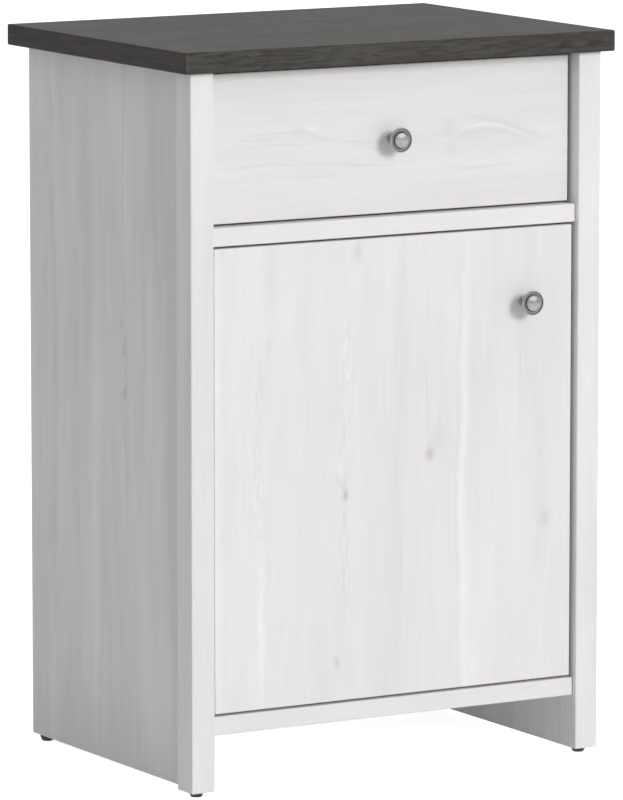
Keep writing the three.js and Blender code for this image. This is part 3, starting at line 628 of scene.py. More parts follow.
    def spot(self, tree: bpy.types.NodeTree, place: Any, mark: Mark) -> Any:
        """Draws the soft bell shape of one mark.

        Args:
            tree: The material's node tree.
            place: Place on the board, with Z along the grain.
            mark: The mark.

        Returns:
            An output socket, 1 in the mark's middle and 0 away from it.
        """
        middle = (mark.across_mm * MM, 0.0, mark.along_mm * MM)
        sharpness = (to_scale(mark.width_mm), 0.0, to_scale(mark.length_mm))
        offset = place
        for operation, other in (("SUBTRACT", middle), ("MULTIPLY", sharpness)):
            moved = add_node(tree, "ShaderNodeVectorMath", {0: offset, 1: other}, operation=operation)
            offset = moved.outputs[0]
        if mark.bow_mm or mark.slant_mm:
            across, depth, along = add_node(tree, "ShaderNodeSeparateXYZ", {0: offset}).outputs
            bend = add_node(tree, "ShaderNodeMath", {0: along, 1: along}, operation="MULTIPLY").outputs[0]
            for run, reach_mm in ((bend, mark.bow_mm), (along, mark.slant_mm)):
                lean = {0: run, 1: reach_mm / mark.width_mm, 2: across}
                across = add_node(tree, "ShaderNodeMath", lean, operation="MULTIPLY_ADD").outputs[0]
            offset = add_node(tree, "ShaderNodeCombineXYZ", {0: across, 1: depth, 2: along}).outputs[0]
        square = add_node(tree, "ShaderNodeVectorMath", {0: offset, 1: offset}, operation="DOT_PRODUCT")
        minus = add_node(tree, "ShaderNodeMath", {0: square.outputs["Value"], 1: -1.0}, operation="MULTIPLY")
        return add_node(tree, "ShaderNodeMath", {0: minus.outputs[0]}, operation="EXPONENT").outputs[0]

    def warm_patches(self, tree: bpy.types.NodeTree, place: Any, colour: Any) -> Any:
        """Tints long patches of the grain, as on smoked oak.

        Args:
            tree: The material's node tree.
            place: Place on the board, with Z along the grain.
            colour: The colour so far.

        Returns:
            The tinted colour.
        """
        patches = self.stretched_noise(tree, place, WARM_PATCHES)
        amount = add_node(tree, "ShaderNodeMapRange", {"Value": patches, **WARM_PATCHES_SHOW})
        return add_node(
            tree,
            "ShaderNodeMix",
            {0: amount.outputs["Result"], MIX_A: colour, MIX_B: linear(self.warm)},
            data_type="RGBA",
        ).outputs[MIX_RESULT]


@dataclass(frozen=True)
class SmoothCoat(Finish):
    """Even coat or moulded skin: foil, paint, powder coat or plastic.

    Attributes:
        colour: Main colour.
        shade: Colour of the slightly darker cloudy patches.
        worn: Colour where corners are rubbed.
        grit_mm: Size of the fine unevenness that a coat or a mould leaves.
        relief: Strength of that unevenness.
        wear: How strongly corners show the worn colour.
        cloud_mm: Size of the cloudy patches.
        corner_mm: Width of the rubbed band along a corner.
        relief_mm: Depth of the unevenness.
    """

    colour: str
    shade: str
    worn: str
    grit_mm: float
    relief: float
    wear: float = 0.4
    cloud_mm: float = 55.56
    corner_mm: float = 0.7
    relief_mm: float = 0.1

    def dress(self, tree: bpy.types.NodeTree, shader: Any) -> None:
        """Links cloudy tone, rubbed corners and fine relief to the shader.

        Args:
            tree: The material's node tree.
            shader: Its Principled shader.
        """
        place = add_node(tree, "ShaderNodeTexCoord").outputs["Object"]
        clouds = add_node(
            tree, "ShaderNodeTexNoise", {"Vector": place, "Scale": to_scale(self.cloud_mm), "Detail": 3.0}
        ).outputs["Fac"]
        grit = add_node(
            tree,
            "ShaderNodeTexNoise",
            {"Vector": place, "Scale": to_scale(self.grit_mm), "Detail": 2.0, "Roughness": 0.55},
        ).outputs["Fac"]
        amount = add_node(tree, "ShaderNodeMapRange", {"Value": clouds, **CLOUDS_SHOW})
        colour = add_node(
            tree,
            "ShaderNodeMix",
            {0: amount.outputs["Result"], MIX_A: linear(self.colour), MIX_B: linear(self.shade)},
            data_type="RGBA",
        ).outputs[MIX_RESULT]
        corner, rounded = self.soft_edge(tree, self.corner_mm)
        rubbed = add_node(tree, "ShaderNodeMath", {0: corner, 1: self.wear}, operation="MULTIPLY").outputs[0]
        colour = add_node(
            tree, "ShaderNodeMix", {0: rubbed, MIX_A: colour, MIX_B: linear(self.worn)}, data_type="RGBA"
        ).outputs[MIX_RESULT]
        relief = {"Strength": self.relief, "Distance": self.relief_mm * MM, "Height": grit, "Normal": rounded}
        self.lay_on(tree, shader, colour, clouds, COAT_GLOSS, relief)


@dataclass(frozen=True)
class PlatedMetal(Finish):
    """Plated metal: bright where it is rubbed, darker in the recesses with patina and painted shade, with
    faint polishing lines.

    Attributes:
        colour: Colour of the rubbed metal.
        tarnish_and_shade: Colour of the patina and painted shade in the recesses, and of the cloudy patches
            of tarnish.
        recess_shade_mm: How wide a recess still gets patina and painted shade.
        alone: Whether only the piece itself walls a recess in; if not, the board that it stands on paints
            shade on it too.
        cloud_mm: Size of the cloudy patches.
        line_mm: Spacing of the polishing lines, drawn as coarse as they need to show.
        line_depth_mm: Their depth.
        line_strength: How strongly they bend the light.
    """

    colour: str
    tarnish_and_shade: str
    recess_shade_mm: float
    alone: bool = True
    cloud_mm: float = 8.333
    line_mm: float = 0.6667
    line_depth_mm: float = 0.05
    line_strength: float = 0.05

    def dress(self, tree: bpy.types.NodeTree, shader: Any) -> None:
        """Links patina, polishing lines and gloss to the shader.

        Args:
            tree: The material's node tree.
            shader: Its Principled shader.
        """
        shader.inputs["Metallic"].default_value = 1.0
        place = add_node(tree, "ShaderNodeTexCoord").outputs["Object"]
        clouds, lines = (
            add_node(
                tree, "ShaderNodeTexNoise", {"Vector": place, "Scale": to_scale(size_mm), "Detail": octaves}
            ).outputs["Fac"]
            for size_mm, octaves in ((self.cloud_mm, 3.0), (self.line_mm, 2.0))
        )
        # Recesses take the darker colour: partly patina, partly painted shade where other parts or the board
        # close in
        open_sky = add_node(
            tree,
            "ShaderNodeAmbientOcclusion",
            {"Distance": self.recess_shade_mm * MM},
            samples=8,
            only_local=self.alone,
        ).outputs["AO"]
        recess, patch = (
            add_node(tree, "ShaderNodeMapRange", {"Value": source, **shows}).outputs["Result"]
            for source, shows in ((open_sky, RECESS_SHADE_SHOWS), (clouds, TARNISH_SHOWS))
        )
        amount = add_node(tree, "ShaderNodeMath", {0: recess, 1: patch}, operation="MAXIMUM").outputs[0]
        colour = add_node(
            tree,
            "ShaderNodeMix",
            {0: amount, MIX_A: linear(self.colour), MIX_B: linear(self.tarnish_and_shade)},
            data_type="RGBA",
        ).outputs[MIX_RESULT]
        relief = {"Strength": self.line_strength, "Distance": self.line_depth_mm * MM, "Height": lines}
        self.lay_on(tree, shader, colour, amount, METAL_GLOSS, relief)


@dataclass(frozen=True)
class FacedHardboard(Finish):
    """Pressed fibreboard sheet: painted on the face that shows inside, raw brown fibre behind.

    Attributes:
        colour: Colour of the painted face.
        raw: Colour of the raw fibre.
        raw_dark: Colour of its darker fibres.
        raw_side: Direction that the raw face looks to.
        fibre_mm: Spacing of the fibres, drawn as coarse as they need to show.
        cloud_mm: Size of the cloudy patches.
        felt_mm: Depth of the felted surface.
        felt_strength: How strongly it bends the light.
    """

    colour: str
    raw: str
    raw_dark: str
    raw_side: Point
    fibre_mm: float = 2.381
    cloud_mm: float = 45.45
    felt_mm: float = 0.15
    felt_strength: float = 0.15

    def dress(self, tree: bpy.types.NodeTree, shader: Any) -> None:
        """Links the painted face, the raw back and the fibre relief to the shader.

        Args:
            tree: The material's node tree.
            shader: Its Principled shader.
        """
        coordinates = add_node(tree, "ShaderNodeTexCoord").outputs
        place = coordinates["Object"]
        fibre, clouds = (
            add_node(
                tree, "ShaderNodeTexNoise", {"Vector": place, "Scale": to_scale(size_mm), "Detail": octaves}
            ).outputs["Fac"]
            for size_mm, octaves in ((self.fibre_mm, 5.0), (self.cloud_mm, 3.0))
        )
        both = add_node(tree, "ShaderNodeMath", {0: fibre, 1: clouds}, operation="ADD").outputs[0]
        amount = add_node(tree, "ShaderNodeMapRange", {"Value": both, **DARK_FIBRES_SHOW})
        raw = add_node(
            tree,
            "ShaderNodeMix",
            {0: amount.outputs["Result"], MIX_A: linear(self.raw), MIX_B: linear(self.raw_dark)},
            data_type="RGBA",
        ).outputs[MIX_RESULT]
        sides = {0: coordinates["Normal"], 1: self.raw_side}
        facing = add_node(tree, "ShaderNodeVectorMath", sides, operation="DOT_PRODUCT").outputs["Value"]
        behind = add_node(tree, "ShaderNodeMapRange", {"Value": facing, **RAW_FACE_SHOWS}).outputs["Result"]
        colour = add_node(
            tree, "ShaderNodeMix", {0: behind, MIX_A: linear(self.colour), MIX_B: raw}, data_type="RGBA"
        ).outputs[MIX_RESULT]
        relief = {"Strength": self.felt_strength, "Distance": self.felt_mm * MM, "Height": fibre}
        self.lay_on(tree, shader, colour, behind, HARDBOARD_GLOSS, relief)


def larch(
    name: str,
    node: str,
    grain: Grain,
    hearts: tuple[Heart, ...],
    seed: float,
    marks: tuple[Mark, ...] = (),
    bands: float = 0.7,
    far_face: bool = False,
) -> WoodGrainBoard:
    """Describes one board faced with whitewashed larch foil.

    Printed melamine foil, lightly embossed: it looks chalky white, with cool grey figure that hardly shows.

    Args:
        name: Name of the material.
        node: Node that the board's face is measured on.
        grain: How the grain lies.
        hearts: Where growth rings show.
        seed: Moves the pattern.
        marks: Knots, streaks and flecks.
        bands: How strongly broad bands show.
        far_face: Whether the face that shows is the one with the higher coordinate.

    Returns:
        The finish.
    """
    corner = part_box(node)[1 if far_face else 0]
    return WoodGrainBoard(
        name=name,
        roughness=0.52,
        pale="#efeeee",
        dark="#d8d7d7",
        knot_colour="#aeaaa8",
        grain=grain,
        face_mm=corner[grain.value[1]] / MM,
        hearts=hearts,
        ring_mm=4.0,
        rings=1.0,
        bands=bands,
        fibre=0.42,
        seed=seed,
        marks=marks,
        # A painted highlight along the corners, paler than the foil
        arris_colour_light_shade="#f8f6f6",
    )


def row(across_mm: float, along_mm: float, half_mm: float, flecks: float, tone: float = 0.0) -> Mark:
    """Describes a row of small flecks along the grain.

    Args:
        across_mm: Place across the grain.
        along_mm: Middle of the row.
        half_mm: Half its length.
        flecks: How strongly the flecks show.
        tone: How much darker the row is on average.

    Returns:
        The mark.
    """
    return Mark(across_mm, along_mm, 7.0, half_mm, tone=tone, flecks=flecks)


def line(across_mm: float, along_mm: float, half_mm: float, tone: float, width_mm: float = 1.3) -> Mark:
    """Describes one fine line along the grain.

    Args:
        across_mm: Place across the grain.
        along_mm: Middle of the line.
        half_mm: Half its length.
        tone: How much darker it is, and below zero how much paler.
        width_mm: Half its width.

    Returns:
        The mark.
    """
    return Mark(across_mm, along_mm, width_mm, half_mm, tone=tone)


DOOR_MARKS = (
    # Left: arches over a heart, with pale flecks and two shadows
    row(-166, 400, 240, 0.3, -0.05),
    Mark(-156, 548, 7, 24, tone=0.2),
    Mark(-157, 481, 5, 9, tone=0.25, swerve=1.0),
    Mark(-163, 430, 6, 30, tone=0.2),
    line(-167, 180, 70, -0.4, 3.0),
    # A row of buds left of the middle, with three small knots
    row(-60, 380, 300, 0.42, 0.04),
    Mark(-47, 575, 5, 9, tone=0.3, knot=0.2, swerve=1.2),
    Mark(-58, 312, 3, 6, tone=0.3, knot=0.6, swerve=1.2),
    Mark(-61, 326, 6, 12, tone=0.2),
    Mark(-72, 131, 3.5, 6, tone=0.2, knot=0.3, swerve=0.8),
    # Middle: a soft darker band with fine lines in it
    Mark(6, 420, 13, 170, tone=0.16),
    line(1, 500, 62, 0.16),
    line(11, 240, 40, 0.28),
    line(-22, 420, 90, 0.1),
    # Right of the middle: the largest knot, with the shadow and the line that lead to it
    Mark(45, 349, 5, 6.5, tone=0.2, knot=0.5, swerve=1.4),
    Mark(52, 364, 11, 15, tone=0.28),
    line(41, 430, 46, 0.26),
    # A pale streak with a fine dark side
    line(88, 330, 380, -0.36, 4.5),
    line(81, 330, 380, 0.22),
    Mark(102, 470, 8, 60, tone=0.14),
    # Towards the closing edge: a darker field, buds and a fuzzy knot
    Mark(170, 480, 48, 150, tone=0.2),
    row(190, 290, 70, 0.4, 0.1),
    Mark(193, 266, 7, 10, tone=0.25, knot=0.15, swerve=1.2),
    line(158, 430, 80, 0.25),
    # Along the hinge edge: a pale band, painted light that lifts the shade of the gap beside the post
    line(-222, 330, 400, -0.3, 7.0),
)

DRAWER_MARKS = (
    # A swirl left of the knob: a dark comma that trails off to the right, with a pale eye over it
    Mark(699.5, -98, 2.6, 25, tone=0.3, bow_mm=-4.4, slant_mm=9.7),
    line(693, -42, 30, 0.2, 1.8),
    Mark(704, -116, 3.5, 11, tone=0.3),
    Mark(706, -98, 4.5, 10, tone=-0.3),
    Mark(703, -150, 1.8, 26, tone=0.25),
    Mark(697, -158, 1.8, 34, tone=0.25),
    Mark(690, -140, 1.8, 60, tone=0.28),
    # A soft knot right of the knob, and the arcs that run off it
    Mark(703, 72.5, 8, 7, tone=0.32),
    Mark(679, 76, 8, 7, tone=0.24),
    Mark(702.5, 118, 2.3, 42, tone=-0.42, bow_mm=10, slant_mm=-1),
    Mark(704, 143, 2.3, 46, tone=0.36, bow_mm=4, slant_mm=11),
    Mark(696.5, 130, 2.2, 46, tone=0.28, bow_mm=7, slant_mm=3),
    Mark(701, 196, 5, 18, tone=-0.2, flecks=0.3),
    # Fine lines below
    line(667.3, -40, 36, 0.34, 1.6),
    line(669.3, -165, 48, 0.3, 1.6),
    line(658.6, 115, 34, 0.34, 1.6),
    line(654.4, -90, 28, 0.3, 1.6),
    line(664, -30, 180, -0.12, 3.0),
    # This whole board is a little darker
    Mark(660, 0, 600, 2000, tone=0.16),
)

SIDE_MARKS = (
    # Down the middle: a heart that just breaks the surface, with small knots and a pale flame
    row(-17, 430, 250, 0.55),
    Mark(-19, 417, 2.6, 6, tone=0.2, knot=0.5, swerve=1.4),
    Mark(-15, 461, 2.2, 5, tone=0.2, knot=0.35, swerve=1.2),
    Mark(-9, 492, 2.4, 6, tone=0.2, knot=0.3, swerve=1.2),
    Mark(-13, 335, 4, 55, tone=-0.45),
    line(-20, 690, 100, -0.38, 2.4),
    line(-14, 600, 26, 0.3, 1.8),
    # Towards the back: a broken line of dark streaks
    Mark(150, 702, 4, 28, tone=0.38),
    Mark(148, 585, 5, 46, tone=0.42, flecks=0.2),
    Mark(143, 425, 7, 68, tone=0.45, flecks=0.3),
    Mark(141, 268, 7, 60, tone=0.42, flecks=0.2),
    # Towards the post: short dark streaks, and a darker field above
    Mark(-115, 495, 3.0, 26, tone=0.5),
    Mark(-117, 400, 3.5, 42, tone=0.5),
    Mark(-118, 240, 3.5, 55, tone=0.42),
    Mark(-97, 655, 33, 125, tone=0.52),
    Mark(-134, 400, 20, 420, tone=0.5),
    # Low down it is darker all the way across
    Mark(30, 10, 260, 70, tone=0.38),
)

FAR_SIDE_MARKS = (
    row(48, 380, 280, 0.5),
    Mark(50, 300, 3.0, 7, tone=0.2, knot=0.5, swerve=1.4),
    Mark(44, 520, 2.4, 6, tone=0.2, knot=0.3, swerve=1.2),
    Mark(-70, 300, 9, 180, tone=0.35),
    line(-20, 560, 130, -0.35, 3.0),
    Mark(150, 240, 12, 160, tone=0.3),
)

OAK_MARKS = (
    # The edging on the front is a little paler and coarser than the face, the one on the ends darker
    Mark(-203, 0, 11, 3000, tone=-0.42, flecks=0.8),
    Mark(788, 0, 60, 3000, tone=0.47, flecks=0.3),
)


class Finishes:
    """Every finish of the chest, each built once."""

    door: bpy.types.Material
    drawer: bpy.types.Material
    posts: bpy.types.Material
    rails: bpy.types.Material
    left_side: bpy.types.Material
    right_side: bpy.types.Material
    inner: bpy.types.Material
    oak: bpy.types.Material
    beech: bpy.types.Material
    back_sheet: bpy.types.Material
    drawer_sheet: bpy.types.Material
    box_foil: bpy.types.Material
    epoxy: bpy.types.Material
    nylon: bpy.types.Material
    black: bpy.types.Material
    white_plastic: bpy.types.Material
    nickel: bpy.types.Material
    zinc: bpy.types.Material

    def __init__(self) -> None:
        """Builds the materials, those of the boards first."""
        self.foils()
        self.oak_and_beech()
        self.sheets_and_coats()
        self.metals()

    def foils(self) -> None:
        """Builds the larch foils, one for each board whose figure shows."""
        arches = (Heart(-166, 3, 26), Heart(186, 16, 30))
        swirl = (Heart(690, 2, 20),)
        upright, level = Grain.UPRIGHT, Grain.LEVEL
        self.door = larch("larch_foil_door", "door_panel", upright, arches, 3.1, DOOR_MARKS).build()
        self.drawer = larch("larch_foil_drawer", "drawer_front", level, swirl, 7.7, DRAWER_MARKS).build()
        self.posts = larch("larch_foil_posts", "left_front_post", upright, (), 5.3, bands=0.9).build()
        self.rails = larch("larch_foil_rails", "middle_rail", level, (), 9.2, bands=0.6).build()
        self.left_side = larch(
            "larch_foil_left_side",
            "left_side_panel",
            Grain.UPRIGHT_SIDE,
            (Heart(-16, 4, 20), Heart(145, 20, 34)),
            1.9,
            SIDE_MARKS,
            bands=1.4,
        ).build()
        self.right_side = larch(
            "larch_foil_right_side",
            "right_side_panel",
            Grain.UPRIGHT_SIDE,
            (Heart(48, 6, 24), Heart(-120, 20, 34)),
            6.4,
            FAR_SIDE_MARKS,
            bands=1.4,
            far_face=True,
        ).build()
        self.inner = larch(
            "larch_foil_inside",
            "shelf",
            Grain.FLAT,
            (Heart(60, 8, 30), Heart(-160, 14, 40)),
            4.6,
            (row(60, 20, 200, 0.35), Mark(-20, -90, 3, 7, tone=0.2, knot=0.4, swerve=1.2)),
            far_face=True,
        ).build()

    def oak_and_beech(self) -> None:
        """Builds the top's dark decor and the beech of the dowels."""
        # Smoked oak melamine, brushed matt: it looks near black-brown, with grey-green and reddish fibres
        self.oak = WoodGrainBoard(
            name="smoked_oak_melamine",
            roughness=0.6,
            pale="#474642",
            dark="#222220",
            knot_colour="#1f1c1a",
            grain=Grain.FLAT,
            face_mm=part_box("top_panel")[1].z / MM,
            hearts=(Heart(-40, 12, 600), Heart(130, 30, 600)),
            ring_mm=4.5,
            rings=0.5,
            bands=0.7,
            fibre=1.3,
            seed=2.7,
            marks=OAK_MARKS,
            emboss=0.3,
            warm="#3f3331",
            specular=0.22,
            # Near black along the corners: a dark edge, deepened by painted shade
            arris_colour_light_shade="#100f0f",
            arris_colour_light_shade_share=0.55,
            edged_ends=True,
        ).build()
        # Turned beech: plain, fine and yellowish, and hardly seen
        self.beech = WoodGrainBoard(
            name="turned_beech",
            roughness=0.6,
            pale="#dcbd94",
            dark="#b9955f",
            knot_colour="#8d6b45",
            grain=Grain.LEVEL,
            face_mm=0.0,
            hearts=(Heart(0, 0, 900),),
            ring_mm=2.0,
            rings=0.8,
            bands=0.5,
            fibre=0.5,
            seed=8.8,
            arris_colour_light_shade="#b9955f",
        ).build()

    def sheets_and_coats(self) -> None:
        """Builds the thin sheets, the drawer box's foil, the powder coat and the plastics."""
        # Pressed hardboard with a painted face: smooth and white inside, felted brown fibre outside
        self.back_sheet, self.drawer_sheet = (
            FacedHardboard(
                name=f"faced_hardboard_{place}",
                colour="#e6e4e1",
                roughness=0.5,
                raw="#8f6b46",
                raw_dark="#6f5033",
                raw_side=raw_side,
            ).build()
            for place, raw_side in (("back", (0.0, 1.0, 0.0)), ("drawer", (0.0, 0.0, -1.0)))
        )
        # Paper foil on chipboard: an even, faintly cloudy white that greys at the corners
        self.box_foil = SmoothCoat(
            name="white_paper_foil",
            colour="#e9e8e5",
            roughness=0.5,
            shade="#e1dfdb",
            worn="#cfccc6",
            grit_mm=1.2,
            relief=0.05,
        ).build()
        # Epoxy powder coat on steel: glossy white with a slight orange peel
        self.epoxy = SmoothCoat(
            name="epoxy_coated_steel",
            colour="#e9e9e7",
            roughness=0.32,
            shade="#e2e2e0",
            worn="#b9b9b8",
            grit_mm=0.9,
            relief=0.12,
        ).build()
        # Moulded nylon: milky and waxy
        self.nylon = SmoothCoat(
            name="moulded_nylon",
            colour="#dcdbd5",
            roughness=0.42,
            shade="#d2d1ca",
            worn="#c4c3bb",
            grit_mm=0.7,
            relief=0.08,
        ).build()
        # Black polypropylene: dark and slightly dusty, with a moulded grain
        self.black = SmoothCoat(
            name="black_polypropylene",
            colour="#19191b",
            roughness=0.48,
            shade="#202022",
            worn="#37373a",
            grit_mm=0.6,
            relief=0.15,
        ).build()
        # White ABS: clean and slightly shiny
        self.white_plastic = SmoothCoat(
            name="white_abs",
            colour="#e9e8e5",
            roughness=0.38,
            shade="#e1e0dc",
            worn="#cdccc8",
            grit_mm=0.8,
            relief=0.06,
        ).build()

    def metals(self) -> None:
        """Builds the metals of knobs, screws and hinges."""
        # Antique nickel on die-cast zinc: silky, with a broad soft gleam; its recesses and its foot by the
        # board darken with patina and painted shade
        self.nickel = PlatedMetal(
            name="antique_nickel",
            colour="#a4a2a4",
            roughness=0.3,
            tarnish_and_shade="#545256",
            recess_shade_mm=12.0,
            alone=False,
        ).build()
        # Zinc plate on pressed steel: bluish grey, bright and a little cloudy
        self.zinc = PlatedMetal(
            name="zinc_plate", colour="#b9bbbe", roughness=0.34, tarnish_and_shade="#6d6e70", recess_shade_mm=3.0
        ).build()


def set_finish(piece: bpy.types.Object, material: bpy.types.Material) -> None:
    """Gives a piece one material all over.

    Args:
        piece: The mesh object.
        material: Its finish.
    """
    if not piece.material_slots:
        piece.data.materials.append(material)
    for holder in piece.material_slots:
        holder.material = material


def smooth_by_angle(mesh: bpy.types.Mesh, degrees: float) -> None:
    """Shades a mesh smooth, apart from edges that are sharper than an angle.

    Args:
        mesh: The mesh.
        degrees: Edges with a larger angle between their faces stay sharp.
    """
    work = bmesh.new()
    work.from_mesh(mesh)
    bmesh.ops.remove_doubles(work, verts=work.verts, dist=WELD_MM * MM)
    for face in work.faces:
        face.smooth = True
    for edge in work.edges:
        angle = edge.calc_face_angle(0.0)
        edge.smooth = angle < math.radians(degrees)
    work.to_mesh(mesh)
    work.free()


def link_piece(
    name: str, mesh: bpy.types.Mesh, body: str, material: bpy.types.Material
) -> bpy.types.Object:
    """Puts a finished mesh in the scene as a piece of the chest.

    Args:
        name: Name of the piece.
        mesh: Its mesh, in the shared frame.
        body: The moving body that carries it.
        material: Its finish.

    Returns:
        The new object.
    """
    piece = bpy.data.objects.new(name, mesh)
    bpy.context.scene.collection.objects.link(piece)
    set_finish(piece, material)
    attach(piece, body)
    LOG.info("%s rides on %s", name, body)
    return piece


def smooth_copy(node: str, body: str, material: bpy.types.Material) -> None:
    """Puts a smooth-shaded copy in place of a small faceted node.

    Args:
        node: Name of the node.
        body: The body that carries it.
        material: Its finish.
    """
    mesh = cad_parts[node].data.copy()
    mesh.materials.clear()
    smooth_by_angle(mesh, PACKED_SHARP_DEG)
    piece = link_piece(f"{node}_finished", mesh, body, material)
    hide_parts(node)


def middle_of(node: str) -> Vector:
    """Gives the middle of a node's box."""
    low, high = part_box(node)
    return (low + high) / 2


def turned_mesh(name: str, profile: Profile, segments: int) -> bpy.types.Mesh:
    """Spins a profile about Z.

    Args:
        name: Name of the mesh.
        profile: Radius and height in millimetres, from the axis at the bottom to the axis at the top.
        segments: Steps round the axis.

    Returns:
        The closed mesh.
    """
    work = bmesh.new()
    turn = [2 * math.pi * step / segments for step in range(segments)]
    rings: list[list[bmesh.types.BMVert]] = []
    for radius, height in profile:
        angles = turn if radius > AXIS_MM else turn[:1]
        points = [Vector((radius * math.cos(a), radius * math.sin(a), height)) * MM for a in angles]
        rings.append([work.verts.new(point) for point in points])
    for low, high in zip(rings, rings[1:]):
        for here in range(segments):
            after = (here + 1) % segments
            around = ((low, here), (low, after), (high, after), (high, here))
            corners = [ring[step % len(ring)] for ring, step in around]
            unique = list(dict.fromkeys(corners))
            if len(unique) > 2:
                work.faces.new(unique)
    bmesh.ops.remove_doubles(work, verts=work.verts, dist=PROFILE_WELD_MM * MM)
    bmesh.ops.recalc_face_normals(work, faces=work.faces)
    mesh = bpy.data.meshes.new(name)
    work.to_mesh(mesh)
    work.free()
    smooth_by_angle(mesh, TURNED_SHARP_DEG)
    return mesh


def arc(
    centre: tuple[float, float], radius: tuple[float, float], start: float, end: float, steps: int
) -> Profile:
    """Points on an ellipse arc, for profiles.

    Args:
        centre: Radius and height of the ellipse's middle.
        radius: Its two half axes.
        start: First angle, in degrees.
        end: Last angle, in degrees.
        steps: Number of stretches.

    Returns:
        The points, first and last included.
    """
    angles = [math.radians(start + (end - start) * step / steps) for step in range(steps + 1)]
    return [(centre[0] + radius[0] * math.cos(a), centre[1] + radius[1] * math.sin(a)) for a in angles]


def cubic(p0: Vector, p1: Vector, p2: Vector, p3: Vector, steps: int) -> Profile:
    """Points on a cubic curve, for profiles.

    Args:
        p0: Start.
        p1: First handle.
        p2: Second handle.
        p3: End.
        steps: Number of stretches.

    Returns:
        The points, first and last included.
    """
    points = []
    for step in range(steps + 1):
        t = step / steps
        point = (1 - t) ** 3 * p0 + 3 * t * (1 - t) ** 2 * p1 + 3 * t * t * (1 - t) * p2 + t**3 * p3
        points.append((point.x, point.y))
    return points


def placed(mesh: bpy.types.Mesh, point: Vector, direction: Point, spin: float = 0.0) -> bpy.types.Mesh:
    """Turns a mesh's Z axis to a direction and moves its origin to a point.

    Args:
        mesh: The mesh, drawn about Z.
        point: Where its origin goes.
        direction: Where its Z axis points.
        spin: Turn about its own axis, in degrees.

    Returns:
        A moved copy.
    """
    turn = Vector(direction).to_track_quat("Z", "Y").to_matrix().to_4x4()
    copy = mesh.copy()
    copy.transform(Matrix.Translation(point) @ turn @ Matrix.Rotation(math.radians(spin), 4, "Z"))
    return copy


def merged(name: str, meshes: Iterable[bpy.types.Mesh]) -> bpy.types.Mesh:
    """Joins meshes of one finish into one.

    Args:
        name: Name of the joined mesh.
        meshes: The meshes, in place.

    Returns:
        The joined mesh.
    """
    work = bmesh.new()
    for mesh in meshes:
        work.from_mesh(mesh)
    whole = bpy.data.meshes.new(name)
    work.to_mesh(whole)
    work.free()
    smooth_by_angle(whole, TURNED_SHARP_DEG)
    return whole


def put_turned(
    node: str,
    name: str,
    profile: Profile,
    segments: int,
    foot: Vector,
    direction: Point,
    body: str,
    material: bpy.types.Material,
) -> None:
    """Puts a turned piece in place of its node.

    Args:
        node: Name of the node.
        name: Name of the piece.
        profile: Its radius and height, in millimetres.
        segments: Steps round the axis.
        foot: Where the profile starts.
        direction: Where its axis points.
        body: The body that carries it.
        material: Its finish.
    """
    mesh = placed(turned_mesh(node, profile, segments), foot, direction)
    piece = link_piece(name, mesh, body, material)
    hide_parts(node)


